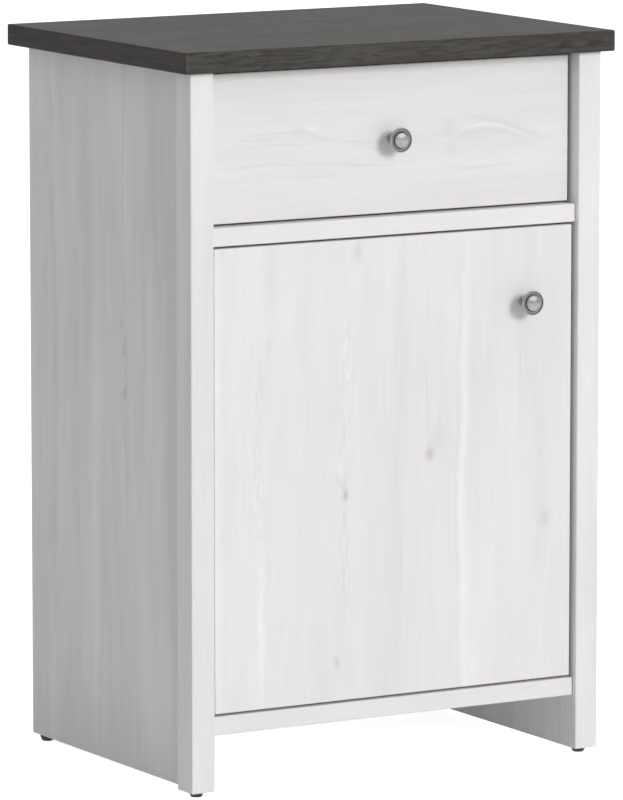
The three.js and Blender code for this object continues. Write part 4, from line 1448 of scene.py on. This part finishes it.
@dataclass(frozen=True)
class CrossHead:
    """Screw head or lock disc with a cross recess for the driver, in millimetres.

    Attributes:
        radius: Outer radius.
        rise: Height of the head over its seat.
        crown: How much of that height is domed.
        arm: Half length of the cross.
        slot: Half width of a cross arm.
        depth: Depth of the recess.
        below: Cylindrical part under the seat.
        shank: Radius and length of the shank, if it is drawn.
        tip: Radius of the shank's tip, and length down to where it begins, as shares of the shank's own.
        chamfer: Chamfer under the head.
        crown_end: Where the crown ends, in half lengths of the cross.
        taper: Size of the recess at its bottom, as a share of its mouth.
        point: Depth of the recess in the middle, as a share of its depth.
    """

    radius: float
    rise: float
    crown: float
    arm: float
    slot: float
    depth: float
    below: float = 0.0
    shank: tuple[float, float] = (0.0, 0.0)
    tip: tuple[float, float] = (0.55, 0.88)
    chamfer: float = 0.15
    crown_end: float = 1.12
    taper: float = 0.72
    point: float = 1.15

    def cross_radius(self, angle: float) -> float:
        """Distance from the middle to the cross outline in one direction.

        Args:
            angle: The direction, in radians.

        Returns:
            The distance in millimetres.
        """
        offset = (angle + math.pi / 4) % (math.pi / 2) - math.pi / 4
        if abs(math.tan(offset)) <= self.slot / self.arm:
            return self.arm / math.cos(offset)
        return self.slot / abs(math.sin(offset))

    def mesh(self, name: str) -> bpy.types.Mesh:
        """Builds the head about Z, its seat at the origin.

        Args:
            name: Name of the mesh.

        Returns:
            The closed mesh.
        """
        rim = math.atan2(self.slot, self.arm)
        flank = math.pi / 2 - 2 * rim
        angles: list[float] = []
        for quarter in range(4):
            base = quarter * math.pi / 2
            angles += [base + rim * step / ARM_END_STEPS for step in range(-ARM_END_STEPS, ARM_END_STEPS + 1)]
            angles += [base + rim + flank * step / FLANK_STEPS for step in range(1, FLANK_STEPS)]
        rings = [[(radius, height)] * len(angles) for radius, height in self.outline()]
        for share, height in ((1.0, self.rise), (self.taper, self.rise - self.depth)):
            rings.append([(share * self.cross_radius(a), height) for a in angles])
        work = bmesh.new()
        corners = [
            [
                work.verts.new(Vector((radius * math.cos(a), radius * math.sin(a), height)) * MM)
                for a, (radius, height) in zip(angles, ring)
            ]
            for ring in rings
        ]
        floor = work.verts.new((0, 0, (self.rise - self.point * self.depth) * MM))
        bottom = work.verts.new((0, 0, rings[0][0][1] * MM))
        for here in range(len(angles)):
            after = (here + 1) % len(angles)
            for lower, upper in zip(corners, corners[1:]):
                work.faces.new((lower[here], lower[after], upper[after], upper[here]))
            work.faces.new((corners[-1][here], corners[-1][after], floor))
            work.faces.new((corners[0][after], corners[0][here], bottom))
        bmesh.ops.recalc_face_normals(work, faces=work.faces)
        mesh = bpy.data.meshes.new(name)
        work.to_mesh(mesh)
        work.free()
        smooth_by_angle(mesh, HEAD_SHARP_DEG)
        return mesh

    def outline(self) -> Profile:
        """Draws the head from the tip of its shank to the edge of the cross.

        Returns:
            Radius and height, in millimetres.
        """
        low = -self.below
        chamfer, shoulder = self.chamfer, self.rise - self.crown
        if self.shank[1] > 0:
            radius, length = self.shank
            slim, start = self.tip
            points = [(radius * slim, low - length), (radius, low - length * start), (radius, low)]
        else:
            points = [(self.radius * 0.5, low)]
        points += [(self.radius - chamfer, low), (self.radius, low + chamfer), (self.radius, shoulder)]
        reach = self.radius - self.arm * self.crown_end
        return points + list(arc((self.radius - reach, shoulder), (reach, self.crown), 15, 90, 5))


@dataclass(frozen=True)
class TurnedKnob:
    """Round furniture knob: foot, drawn-in neck, flat rim ring, groove and domed middle, in millimetres.

    Attributes:
        foot_radius: Radius of the foot on the board.
        foot_height: Height of the foot.
        neck_radius: Thinnest radius of the neck.
        rim_radius: Outer radius of the ring.
        rim_height: Foot to the back of the ring.
        rim_thickness: Thickness of the ring.
        rim_width: Width of the ring seen from the front.
        groove_depth: Depth of the groove inside the ring.
        dome_radius: Radius of the domed middle.
        reach: Foot to the top of the dome.
        edge_round: Rounding of the foot and of the ring's outer edges.
        base_round: Rounding where the foot meets the board.
        inner_round: Rounding of the ring's inner edge.
    """

    foot_radius: float = 5.4
    foot_height: float = 2.0
    neck_radius: float = 4.2
    rim_radius: float = 13.5
    rim_height: float = 17.4
    rim_thickness: float = 3.0
    rim_width: float = 1.3
    groove_depth: float = 1.3
    dome_radius: float = 9.6
    reach: float = 27.0
    edge_round: float = 0.9
    base_round: float = 0.6
    inner_round: float = 0.5

    def profile(self) -> Profile:
        """Draws the knob's outline from the middle of the foot to the top of the dome.

        Returns:
            Radius and height, in millimetres.
        """
        edge, base, inner = self.edge_round, self.base_round, self.inner_round
        rim_top = self.rim_height + self.rim_thickness
        rim_inner = self.rim_radius - self.rim_width
        groove = rim_top - self.groove_depth
        half_groove = (rim_inner - self.dome_radius) / 2
        points = [(0.0, 0.0), (self.foot_radius - base / 2, 0.0)]
        points += arc((self.foot_radius - base, base), (base, base), -60, 0, 4)
        points += arc((self.foot_radius - edge, self.foot_height - edge), (edge, edge), 0, 70, 5)
        # The neck draws in just over the foot, and opens like a trumpet under the ring
        points += cubic(
            Vector((self.foot_radius - edge, self.foot_height)),
            Vector((self.neck_radius - 0.2, self.foot_height + 3.5)),
            Vector((self.neck_radius - 0.4, self.rim_height - 4.5)),
            Vector((self.rim_radius - 1.4, self.rim_height)),
            28,
        )
        points += arc((self.rim_radius - edge, self.rim_height + 0.95), (edge, edge), -55, 0, 6)
        points += arc((self.rim_radius - edge, rim_top - edge), (edge, edge), 0, 80, 8)
        points += arc((rim_inner + inner, rim_top - inner), (inner, inner), 95, 175, 6)
        points += arc((rim_inner - half_groove, groove + 0.35), (half_groove - 0.05, 0.35), -10, -170, 8)
        points += arc((0.0, groove), (self.dome_radius, self.reach - groove), 6, 90, 26)
        return points

    def build(self, node: str, body: str, material: bpy.types.Material) -> None:
        """Puts the turned knob in place of its node.

        Args:
            node: Name of the knob's node.
            body: The body that carries it.
            material: Its metal finish.
        """
        foot = middle_of(node)
        foot.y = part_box(node)[1].y
        name, front = f"{node}_turned", (0, -1, 0)
        put_turned(node, name, self.profile(), 128, foot, front, body, material)


@dataclass
class Carcass:
    """Posts, sides, rails, boards, shelf, back and their small fittings.

    Attributes:
        finishes: The finishes of the chest.
        glide_nail_mm: Radius and length of a glide's nail.
        cam: The cam lock's disc.
        pin_radius_mm: Radius of a shelf pin.
        pin_collar_mm: Radius of its collar.
        pin_reach_mm: How far it stands out of the side panel.
        stop_screw: Head of the door stop's screw.
        stop_screw_mm: Rear edge and top of the stop to the seat of that screw.
        nail_head_mm: Radius and rise of the head of a nail in the back sheet.
        nail_shank_mm: Radius of its shank.
        nail_edge_mm: Edge of the back sheet to its nails, which meet the middle of a side's rear edge.
        nail_pitch_mm: Rough distance between nails.
    """

    finishes: Finishes
    glide_nail_mm: tuple[float, float] = (1.2, 14.0)
    cam: CrossHead = CrossHead(7.3, 0.0, 0.0, 5.1, 1.0, 1.6, below=12.0)
    pin_radius_mm: float = 2.5
    pin_collar_mm: float = 4.0
    pin_reach_mm: float = 8.0
    stop_screw: CrossHead = CrossHead(3.0, 1.4, 0.9, 1.9, 0.4, 0.9)
    stop_screw_mm: tuple[float, float] = (6.0, 4.0)
    nail_head_mm: tuple[float, float] = (2.4, 0.9)
    nail_shank_mm: float = 0.7
    nail_edge_mm: float = 6.0
    nail_pitch_mm: float = 105.0

    def build(self) -> None:
        """Dresses the boards and puts the fine turned fittings in place."""
        self.dress_boards()
        self.glides()
        self.cams()
        self.shelf_pins()
        self.stop()
        self.back_nails()

    def dress_boards(self) -> None:
        """Gives each board its decor."""
        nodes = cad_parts
        finishes = self.finishes
        decors = {
            "top_panel": finishes.oak,
            "left_side_panel": finishes.left_side,
            "right_side_panel": finishes.right_side,
            "bottom_board": finishes.inner,
            "middle_board": finishes.inner,
            "shelf": finishes.inner,
            "back_panel": finishes.back_sheet,
        }
        for side, _ in SIDES:
            decors[f"{side}_front_post"] = finishes.posts
            for rail in ("bottom_rail", "middle_rail"):
                decors[rail] = finishes.rails
                decors[f"{side}_{rail}_dowel"] = finishes.beech
        for name, decor in decors.items():
            set_finish(nodes[name], decor)
        LOG.info("boards of the carcass dressed")

    def glides(self) -> None:
        """Turns the four nail-on plastic glides."""
        nail_radius, nail_length = self.glide_nail_mm
        for node in (f"{side}_{end}_glide" for side, _ in SIDES for end in ("front", "rear")):
            low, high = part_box(node)
            radius = (high.x - low.x) / 2 / MM
            height = (high.z - low.z) / MM - nail_length
            profile = [(0.0, 0.0), (radius - 2.8, 0.0)]
            profile += arc((radius - 2.6, 0.8), (0.8, 0.8), -80, -10, 5)
            profile += [(radius, height - 1.7), (radius, height - 0.5)]
            profile += arc((radius - 0.2, height - 0.5), (0.2, 0.2), 0, 90, 3)
            profile += [(nail_radius, height - 0.3), (nail_radius, height + nail_length - 3)]
            profile += [(0.0, height + nail_length)]
            foot = middle_of(node)
            foot.z = low.z
            name, black = f"{node}_moulded", self.finishes.black
            put_turned(node, name, profile, 64, foot, (0, 0, 1), "carcass", black)

    def cams(self) -> None:
        """Puts the cam locks' fine discs in place."""
        disc = self.cam.mesh("cam_disc")
        for side, inward in SIDES:
            for end in ("front", "rear"):
                node = f"{side}_{end}_top_cam"
                face = middle_of(node)
                face.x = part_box(node)[1 if inward > 0 else 0].x
                self.one_cam(node, disc, face, (inward, 0, 0))
            for board in ("bottom_board", "middle_board"):
                node = f"{side}_{board}_cam"
                face = middle_of(node)
                face.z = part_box(node)[0].z
                self.one_cam(node, disc, face, (0, 0, -1))

    def one_cam(self, node: str, disc: bpy.types.Mesh, face: Vector, direction: Point) -> None:
        """Puts one cam disc in place of its node.

        Args:
            node: Name of the node.
            disc: The disc, drawn about Z.
            face: Centre of its face.
            direction: Where the face looks.
        """
        mesh = placed(disc, face, direction, 20)
        cam = link_piece(f"{node}_disc", mesh, "carcass", self.finishes.zinc)
        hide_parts(node)

    def shelf_pins(self) -> None:
        """Turns the four steel pins under the shelf."""
        pin, collar, reach = self.pin_radius_mm, self.pin_collar_mm, self.pin_reach_mm
        for side, inward in SIDES:
            for node in (f"{side}_front_shelf_pin", f"{side}_rear_shelf_pin"):
                low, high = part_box(node)
                length = (high.x - low.x) / MM
                seat = length - reach
                profile = [(0.0, 0.0), (pin - 0.4, 0.0), (pin, 0.4)]
                profile += [(pin, seat + 0.3), (collar - 0.3, seat + 0.3)]
                profile += arc((collar - 0.3, seat + 0.8), (0.3, 0.5), -80, 80, 5)
                profile += [(pin, seat + 1.3), (pin, length - 0.8)]
                profile += arc((pin - 0.8, length - 0.8), (0.8, 0.8), 0, 80, 5)
                profile += [(0.0, length)]
                root = middle_of(node)
                root.x = low.x if inward > 0 else high.x
                name, zinc = f"{node}_turned", self.finishes.zinc
                put_turned(node, name, profile, 48, root, (inward, 0, 0), "carcass", zinc)

    def stop(self) -> None:
        """Puts the moulded stop and its screw under the middle board."""
        smooth_copy("door_stop", "carcass", self.finishes.white_plastic)
        back_mm, down_mm = self.stop_screw_mm
        under = middle_of("door_stop")
        under.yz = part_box("door_stop")[1].yz - Vector((back_mm, down_mm)) * MM
        screw = placed(self.stop_screw.mesh("stop_screw"), under, (0, 0, -1), 30)
        link_piece("door_stop_screw", screw, "carcass", self.finishes.zinc)

    def back_nails(self) -> None:
        """Drives the nails of the back sheet into the sides and into the boards between them."""
        radius, rise = self.nail_head_mm
        shank = self.nail_shank_mm
        profile = [(0.0, -2.0), (shank, -2.0), (shank, 0.0), (radius - 0.2, 0.0), (radius, 0.2)]
        profile += arc((0.0, 0.2), (radius, rise - 0.2), 5, 90, 8)
        nail = turned_mesh("back_nail", profile, 24)
        low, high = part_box("back_panel")
        edge = self.nail_edge_mm * MM
        pitch = self.nail_pitch_mm * MM
        left, right = low.x + edge, high.x - edge
        bottom, top = low.z + 2 * edge, high.z - 2 * edge
        steps = round((top - bottom) / pitch)
        levels = [bottom + (top - bottom) * step / steps for step in range(steps + 1)]
        places = [(x, z) for x in (left, right) for z in levels]
        steps = round((right - left) / pitch)
        for board in ("bottom_board", "middle_board"):
            level = middle_of(board).z
            places += [(left + (right - left) * step / steps, level) for step in range(1, steps)]
        heads = [placed(nail, Vector((x, high.y, z)), (0, 1, 0)) for x, z in places]
        link_piece("back_nails", merged("back_nails", heads), "carcass", self.finishes.zinc)


@dataclass
class RollerRunners:
    """Epoxy-coated roller runners of the drawer, with their nylon rollers and screws.

    Attributes:
        finishes: The finishes of the chest.
        sheet_mm: Thickness of the steel.
        screw: Head of the fixing screws.
        screw_places_mm: Places of the screws from the front end of a runner.
        screw_rise_mm: Height of the drawer's screws over the lower edge of its side.
        play_mm: Play between the drawer's side and its runner.
        bore_mm: Radius of a roller's bore.
        hub_mm: Inner and outer radius of the groove round a roller's hub.
        hub_depth_mm: Depth of that groove.
        tread_round_mm: Rounding of a roller's tread.
    """

    finishes: Finishes
    sheet_mm: float = 1.2
    screw: CrossHead = CrossHead(3.0, 0.75, 0.65, 1.8, 0.38, 0.5)
    screw_places_mm: tuple[float, ...] = (38.0, 166.0, 294.0)
    screw_rise_mm: float = 6.5
    play_mm: float = 0.3
    bore_mm: float = 2.7
    hub_mm: tuple[float, float] = (4.6, 7.5)
    hub_depth_mm: float = 0.5
    tread_round_mm: float = 0.7

    def build(self) -> None:
        """Puts runners, rollers and screw heads in place."""
        for side, inward in SIDES:
            for body in ("carcass", "drawer"):
                smooth_copy(f"{side}_{body}_runner", body, self.finishes.epoxy)
            for end in ("front", "rear"):
                self.roller(f"{side}_{end}_roller", f"{side}_{end}_wheel", inward)
            self.screws(side, inward)

    def roller(self, node: str, body: str, inward: int) -> None:
        """Turns one roller with its bore, hub and softened tread.

        Args:
            node: Name of the roller's node.
            body: The wheel body.
            inward: Sign of the direction to the middle of the chest.
        """
        low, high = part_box(node)
        radius = (high.z - low.z) / 2 / MM
        width = (high.x - low.x) / MM
        bore, soft, deep = self.bore_mm, self.tread_round_mm, self.hub_depth_mm
        inner, outer = self.hub_mm
        profile = [(bore, 0.3), (bore + 0.3, 0.0), (inner, 0.0), (inner + 0.4, deep), (outer - 0.3, deep)]
        profile += [(outer, 0.0)]
        profile += arc((radius - soft, soft), (soft, soft), -90, 0, 6)
        profile += arc((radius - soft, width - soft), (soft, soft), 0, 90, 6)
        profile += [(outer, width), (outer - 0.3, width - deep), (inner + 0.4, width - deep), (inner, width)]
        profile += [(bore + 0.3, width), (bore, width - 0.3), (bore, 0.3)]
        hub = middle_of(node)
        hub.x = low.x if inward > 0 else high.x
        name, nylon = f"{node}_moulded", self.finishes.nylon
        put_turned(node, name, profile, 96, hub, (inward, 0, 0), body, nylon)

    def screws(self, side: str, inward: int) -> None:
        """Puts the screw heads on both halves of a runner.

        Args:
            side: Left or right.
            inward: Sign of the direction to the middle of the chest.
        """
        head = self.screw.mesh("runner_screw")
        near = 0 if inward > 0 else 1
        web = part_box(f"{side}_carcass_runner")[near].x
        drawer_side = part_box(f"drawer_{side}_side")
        # On the carcass the heads look inwards at the height of the rollers, on the drawer they look out
        rows = (
            ("carcass", inward, web + inward * self.sheet_mm * MM, middle_of(f"{side}_front_roller").z, 17),
            (
                "drawer",
                -inward,
                drawer_side[near].x - inward * (self.play_mm + self.sheet_mm) * MM,
                drawer_side[0].z + self.screw_rise_mm * MM,
                23,
            ),
        )
        for body, outward, face, height, turn in rows:
            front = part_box(f"{side}_{body}_runner")[0].y
            heads = [
                placed(head, Vector((face, front + place * MM, height)), (outward, 0, 0), turn * number)
                for number, place in enumerate(self.screw_places_mm)
            ]
            name = f"{side}_{body}_runner_screws"
            link_piece(name, merged(name, heads), body, self.finishes.zinc)


@dataclass
class Drawer:
    """Drawer front with its knob, and the box behind it.

    Attributes:
        finishes: The finishes of the chest.
        knob: The turned knob.
    """

    finishes: Finishes
    knob: TurnedKnob = TurnedKnob()

    def build(self) -> None:
        """Dresses the drawer and puts the fine knob and screw in place."""
        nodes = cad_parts
        set_finish(nodes["drawer_front"], self.finishes.drawer)
        for name in ("drawer_left_side", "drawer_right_side", "drawer_back"):
            set_finish(nodes[name], self.finishes.box_foil)
        set_finish(nodes["drawer_bottom"], self.finishes.drawer_sheet)
        self.knob.build("drawer_knob", "drawer", self.finishes.nickel)
        knob_screw("drawer_knob_screw", "drawer", self.finishes.zinc)
        LOG.info("drawer dressed")


def knob_screw(node: str, body: str, material: bpy.types.Material) -> None:
    """Puts a pan-head screw with a cross recess in place of its node.

    Args:
        node: Name of the screw's node.
        body: The body that carries it.
        material: Its finish.
    """
    low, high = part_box(node)
    radius = (high.x - low.x) / 2 / MM
    head_rise = 2.4
    length = (high.y - low.y) / MM - head_rise
    screw = CrossHead(radius, head_rise, crown=1.5, arm=2.5, slot=0.5, depth=1.5, shank=(2.0, length))
    seat = middle_of(node)
    seat.y = high.y - head_rise * MM
    mesh = placed(screw.mesh(node), seat, (0, 1, 0), 35)
    piece = link_piece(f"{node}_finished", mesh, body, material)
    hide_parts(node)


@dataclass
class Door:
    """Door panel with its knob and the hinge cups let into it.

    Attributes:
        finishes: The finishes of the chest.
        knob: The turned knob.
        ear_screw: Head of the screws in the cups' ears.
        ear_inset_mm: End of an ear to the middle of its screw.
        ear_line_mm: Edge of the cup towards the knob to the line of its screws.
    """

    finishes: Finishes
    knob: TurnedKnob = TurnedKnob()
    ear_screw: CrossHead = CrossHead(3.4, 1.0, 0.8, 2.1, 0.42, 0.7)
    ear_inset_mm: float = 6.0
    ear_line_mm: float = 12.5

    def build(self) -> None:
        """Dresses the door and puts the fine knob, cups and screws in place."""
        set_finish(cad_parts["door_panel"], self.finishes.door)
        self.knob.build("door_knob", "door", self.finishes.nickel)
        knob_screw("door_knob_screw", "door", self.finishes.zinc)
        for level in ("upper", "lower"):
            for part in ("cup", "pin"):
                smooth_copy(f"{level}_hinge_{part}", "door", self.finishes.zinc)
            self.cup_screws(level)
        LOG.info("door dressed")

    def cup_screws(self, level: str) -> None:
        """Puts the two screw heads on the ears of a hinge cup.

        Args:
            level: Upper or lower.
        """
        low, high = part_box(f"{level}_hinge_cup")
        line = high.x - self.ear_line_mm * MM
        inset = self.ear_inset_mm * MM
        head = self.ear_screw.mesh("ear_screw")
        heads = [
            placed(head, Vector((line, high.y, z)), (0, 1, 0), 40) for z in (low.z + inset, high.z - inset)
        ]
        name = f"{level}_cup_screws"
        link_piece(name, merged(name, heads), "door", self.finishes.zinc)


@dataclass
class HingeArms:
    """Cranked arms and mounting plates of the concealed hinges, with their screws.

    Attributes:
        finishes: The finishes of the chest.
        plate_screw: Head of the screws in the plate's wings.
        clamp_screw: Head of the screw that clamps the arm.
        adjuster: Head of the adjusting screw.
        wing_mm: Front and top of the plate to the screw in a wing.
        wing_rise_mm: Side panel to the face of a wing.
        arm_rise_mm: Face of the plate to the face of the arm on it.
        clamp_mm: Rear end of the arm to its clamping screw.
        adjuster_mm: Wing screws to the adjusting screw behind them.
    """

    finishes: Finishes
    plate_screw: CrossHead = CrossHead(3.6, 1.2, 0.9, 2.2, 0.45, 0.8)
    clamp_screw: CrossHead = CrossHead(4.2, 2.0, 1.2, 2.6, 0.5, 1.2)
    adjuster: CrossHead = CrossHead(3.0, 0.9, 0.5, 2.0, 0.42, 0.7)
    wing_mm: tuple[float, float] = (15.0, 7.5)
    wing_rise_mm: float = 2.0
    arm_rise_mm: float = 2.8
    clamp_mm: float = 11.5
    adjuster_mm: float = 7.0

    def build(self) -> None:
        """Puts the arms, plates and screw heads in place."""
        for level in ("upper", "lower"):
            for part in ("arm", "plate"):
                smooth_copy(f"{level}_hinge_{part}", "carcass", self.finishes.zinc)
            self.screws(level)

    def screws(self, level: str) -> None:
        """Puts the four screw heads on an arm and its plate.

        Args:
            level: Upper or lower.
        """
        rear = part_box(f"{level}_hinge_arm")[1].y
        height = middle_of(f"{level}_hinge_arm").z
        low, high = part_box(f"{level}_hinge_plate")
        wing_y = low.y + self.wing_mm[0] * MM
        wing_z = self.wing_mm[1] * MM
        wing_face = low.x + self.wing_rise_mm * MM
        arm_face = high.x + self.arm_rise_mm * MM
        seats = (
            (self.plate_screw, (wing_face, wing_y, low.z + wing_z), 15),
            (self.plate_screw, (wing_face, wing_y, high.z - wing_z), 15),
            (self.clamp_screw, (arm_face, rear - self.clamp_mm * MM, height), 40),
            (self.adjuster, (arm_face, wing_y + self.adjuster_mm * MM, height), 5),
        )
        heads = [placed(screw.mesh("screw"), Vector(seat), (1, 0, 0), turn) for screw, seat, turn in seats]
        name = f"{level}_hinge_screws"
        link_piece(name, merged(name, heads), "carcass", self.finishes.zinc)


@dataclass
class Studio:
    """Plain pale floor, soft light and the camera at the photograph's viewing angle.

    Attributes:
        focal_mm: Focal length for a 36 mm sensor on the frame's long side.
        yaw: Turn of the view to the object's left, in degrees.
        pitch: Downward tilt, in degrees.
        eye: Place of the camera, in metres.
        ambient: Strength of the world on matt surfaces.
        key_power: Power of the main soft light, in watts.
        key_place: Place of the main light, in metres.
        key_size: Width of the main light, in metres.
        key_colour: Colour of the lamps, as sRGB hex: a touch warmer than white.
        card_power: Power of the card overhead that only the shine of metal and plastic shows, in watts.
        card_place: Place of the card, in metres.
        card_size: Width of the card, in metres.
        aim: Point that the lamps look at, in metres.
        floor_half: Half width of the floor, in metres.
        floor_glow: Strength of the floor's own white, which only the eye and reflections see.
    """

    focal_mm: float = 292.85
    yaw: float = 30.32
    pitch: float = 8.4
    eye: Point = (-3.57809, -6.11701, 1.43514)
    ambient: float = 0.42
    key_power: float = 552.0
    key_place: Point = (2.18, -9.45, 3.75)
    key_size: float = 3.4
    key_colour: str = "#fffcfc"
    card_power: float = 420.0
    card_place: Point = (1.0, -6.2, 6.7)
    card_size: float = 11.5
    aim: Point = (0.0, 0.0, 0.45)
    floor_half: float = 60.0
    floor_glow: float = 0.8

    def build(self) -> None:
        """Builds camera, world, lamps and floor."""
        self.camera()
        self.world()
        key = self.soft_light("key", self.key_power, self.key_place, self.key_size)
        key.visible_glossy = False
        card = self.soft_light("card", self.card_power, self.card_place, self.card_size)
        # The card hangs level
        card.rotation_euler = (0.0, 0.0, 0.0)
        card.visible_diffuse = False
        self.floor()
        bpy.context.scene.view_settings.view_transform = "Standard"

    def camera(self) -> None:
        """Places the camera."""
        data = bpy.data.cameras.new("photo_view")
        data.sensor_width = 36.0
        data.sensor_fit = "AUTO"
        data.lens = self.focal_mm
        data.clip_start = 0.1
        data.clip_end = 500.0
        camera = bpy.data.objects.new("photo_view", data)
        yaw, pitch = math.radians(self.yaw), math.radians(self.pitch)
        forward = Vector((math.sin(yaw) * math.cos(pitch), math.cos(yaw) * math.cos(pitch), -math.sin(pitch)))
        camera.location = self.eye
        camera.rotation_euler = forward.to_track_quat("-Z", "Y").to_euler()
        bpy.context.scene.collection.objects.link(camera)
        bpy.context.scene.camera = camera

    def seen_directly(self, tree: bpy.types.NodeTree) -> Any:
        """Adds the test for camera, glossy and transmission rays.

        Args:
            tree: The node tree.

        Returns:
            An output socket, 1 for those rays and 0 for the others.
        """
        rays = add_node(tree, "ShaderNodeLightPath").outputs
        seen = rays["Is Camera Ray"]
        for other in (rays["Is Glossy Ray"], rays["Is Transmission Ray"]):
            seen = add_node(tree, "ShaderNodeMath", {0: seen, 1: other}, operation="MAXIMUM").outputs[0]
        return seen

    def world(self) -> None:
        """Makes the surroundings white to look at, and softer as a source of light."""
        world = bpy.data.worlds.new("white_studio")
        world.use_nodes = True
        tree = world.node_tree
        tree.nodes.clear()
        seen = self.seen_directly(tree)
        strength = add_node(
            tree, "ShaderNodeMapRange", {"Value": seen, "To Min": self.ambient, "To Max": 1.0}
        ).outputs["Result"]
        light = add_node(tree, "ShaderNodeBackground", {"Color": linear("#ffffff"), "Strength": strength})
        output = add_node(tree, "ShaderNodeOutputWorld")
        tree.links.new(light.outputs[0], output.inputs["Surface"])
        bpy.context.scene.world = world

    def soft_light(self, name: str, power: float, place: Point, size: float) -> bpy.types.Object:
        """Hangs one large soft light that looks at the middle of the chest.

        Args:
            name: Name of the light.
            power: Its power, in watts.
            place: Its place, in metres.
            size: Its width, in metres.

        Returns:
            The lamp.
        """
        data = bpy.data.lights.new(name, "AREA")
        data.shape = "SQUARE"
        data.size = size
        data.energy = power
        data.color = linear(self.key_colour)[:3]
        lamp = bpy.data.objects.new(name, data)
        lamp.location = place
        way = Vector(self.aim) - Vector(place)
        lamp.rotation_euler = way.to_track_quat("-Z", "Y").to_euler()
        bpy.context.scene.collection.objects.link(lamp)
        return lamp

    def floor(self) -> None:
        """Lays the pale floor, which looks white where no shadow falls."""
        work = bmesh.new()
        bmesh.ops.create_grid(work, x_segments=8, y_segments=8, size=self.floor_half)
        mesh = bpy.data.meshes.new("floor")
        work.to_mesh(mesh)
        work.free()
        floor = bpy.data.objects.new("floor", mesh)
        bpy.context.scene.collection.objects.link(floor)
        material = bpy.data.materials.new("pale_painted_floor")
        material.use_nodes = True
        tree = material.node_tree
        tree.nodes.clear()
        paint = add_node(tree, "ShaderNodeBsdfDiffuse", {"Color": linear("#fafafa")})
        glow = add_node(tree, "ShaderNodeEmission", {"Color": linear("#ffffff")})
        glow_share = {0: self.seen_directly(tree), 1: self.floor_glow}
        seen = add_node(tree, "ShaderNodeMath", glow_share, operation="MULTIPLY")
        tree.links.new(seen.outputs[0], glow.inputs["Strength"])
        both = add_node(tree, "ShaderNodeAddShader", {0: paint.outputs[0], 1: glow.outputs[0]})
        output = add_node(tree, "ShaderNodeOutputMaterial")
        tree.links.new(both.outputs[0], output.inputs["Surface"])
        mesh.materials.append(material)


def write_sizes() -> None:
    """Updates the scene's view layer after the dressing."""
    bpy.context.view_layer.update()


def main() -> None:
    """Builds the studio, then each sub-assembly in turn."""
    logging.basicConfig(level=logging.INFO, format="%(name)s: %(message)s")
    Studio().build()
    finishes = Finishes()
    for assembly in (
        Carcass(finishes),
        RollerRunners(finishes),
        Drawer(finishes),
        Door(finishes),
        HingeArms(finishes),
    ):
        assembly.build()
        LOG.info("%s is in place", type(assembly).__name__)
    write_sizes()


if __name__ == "__main__":
    main()
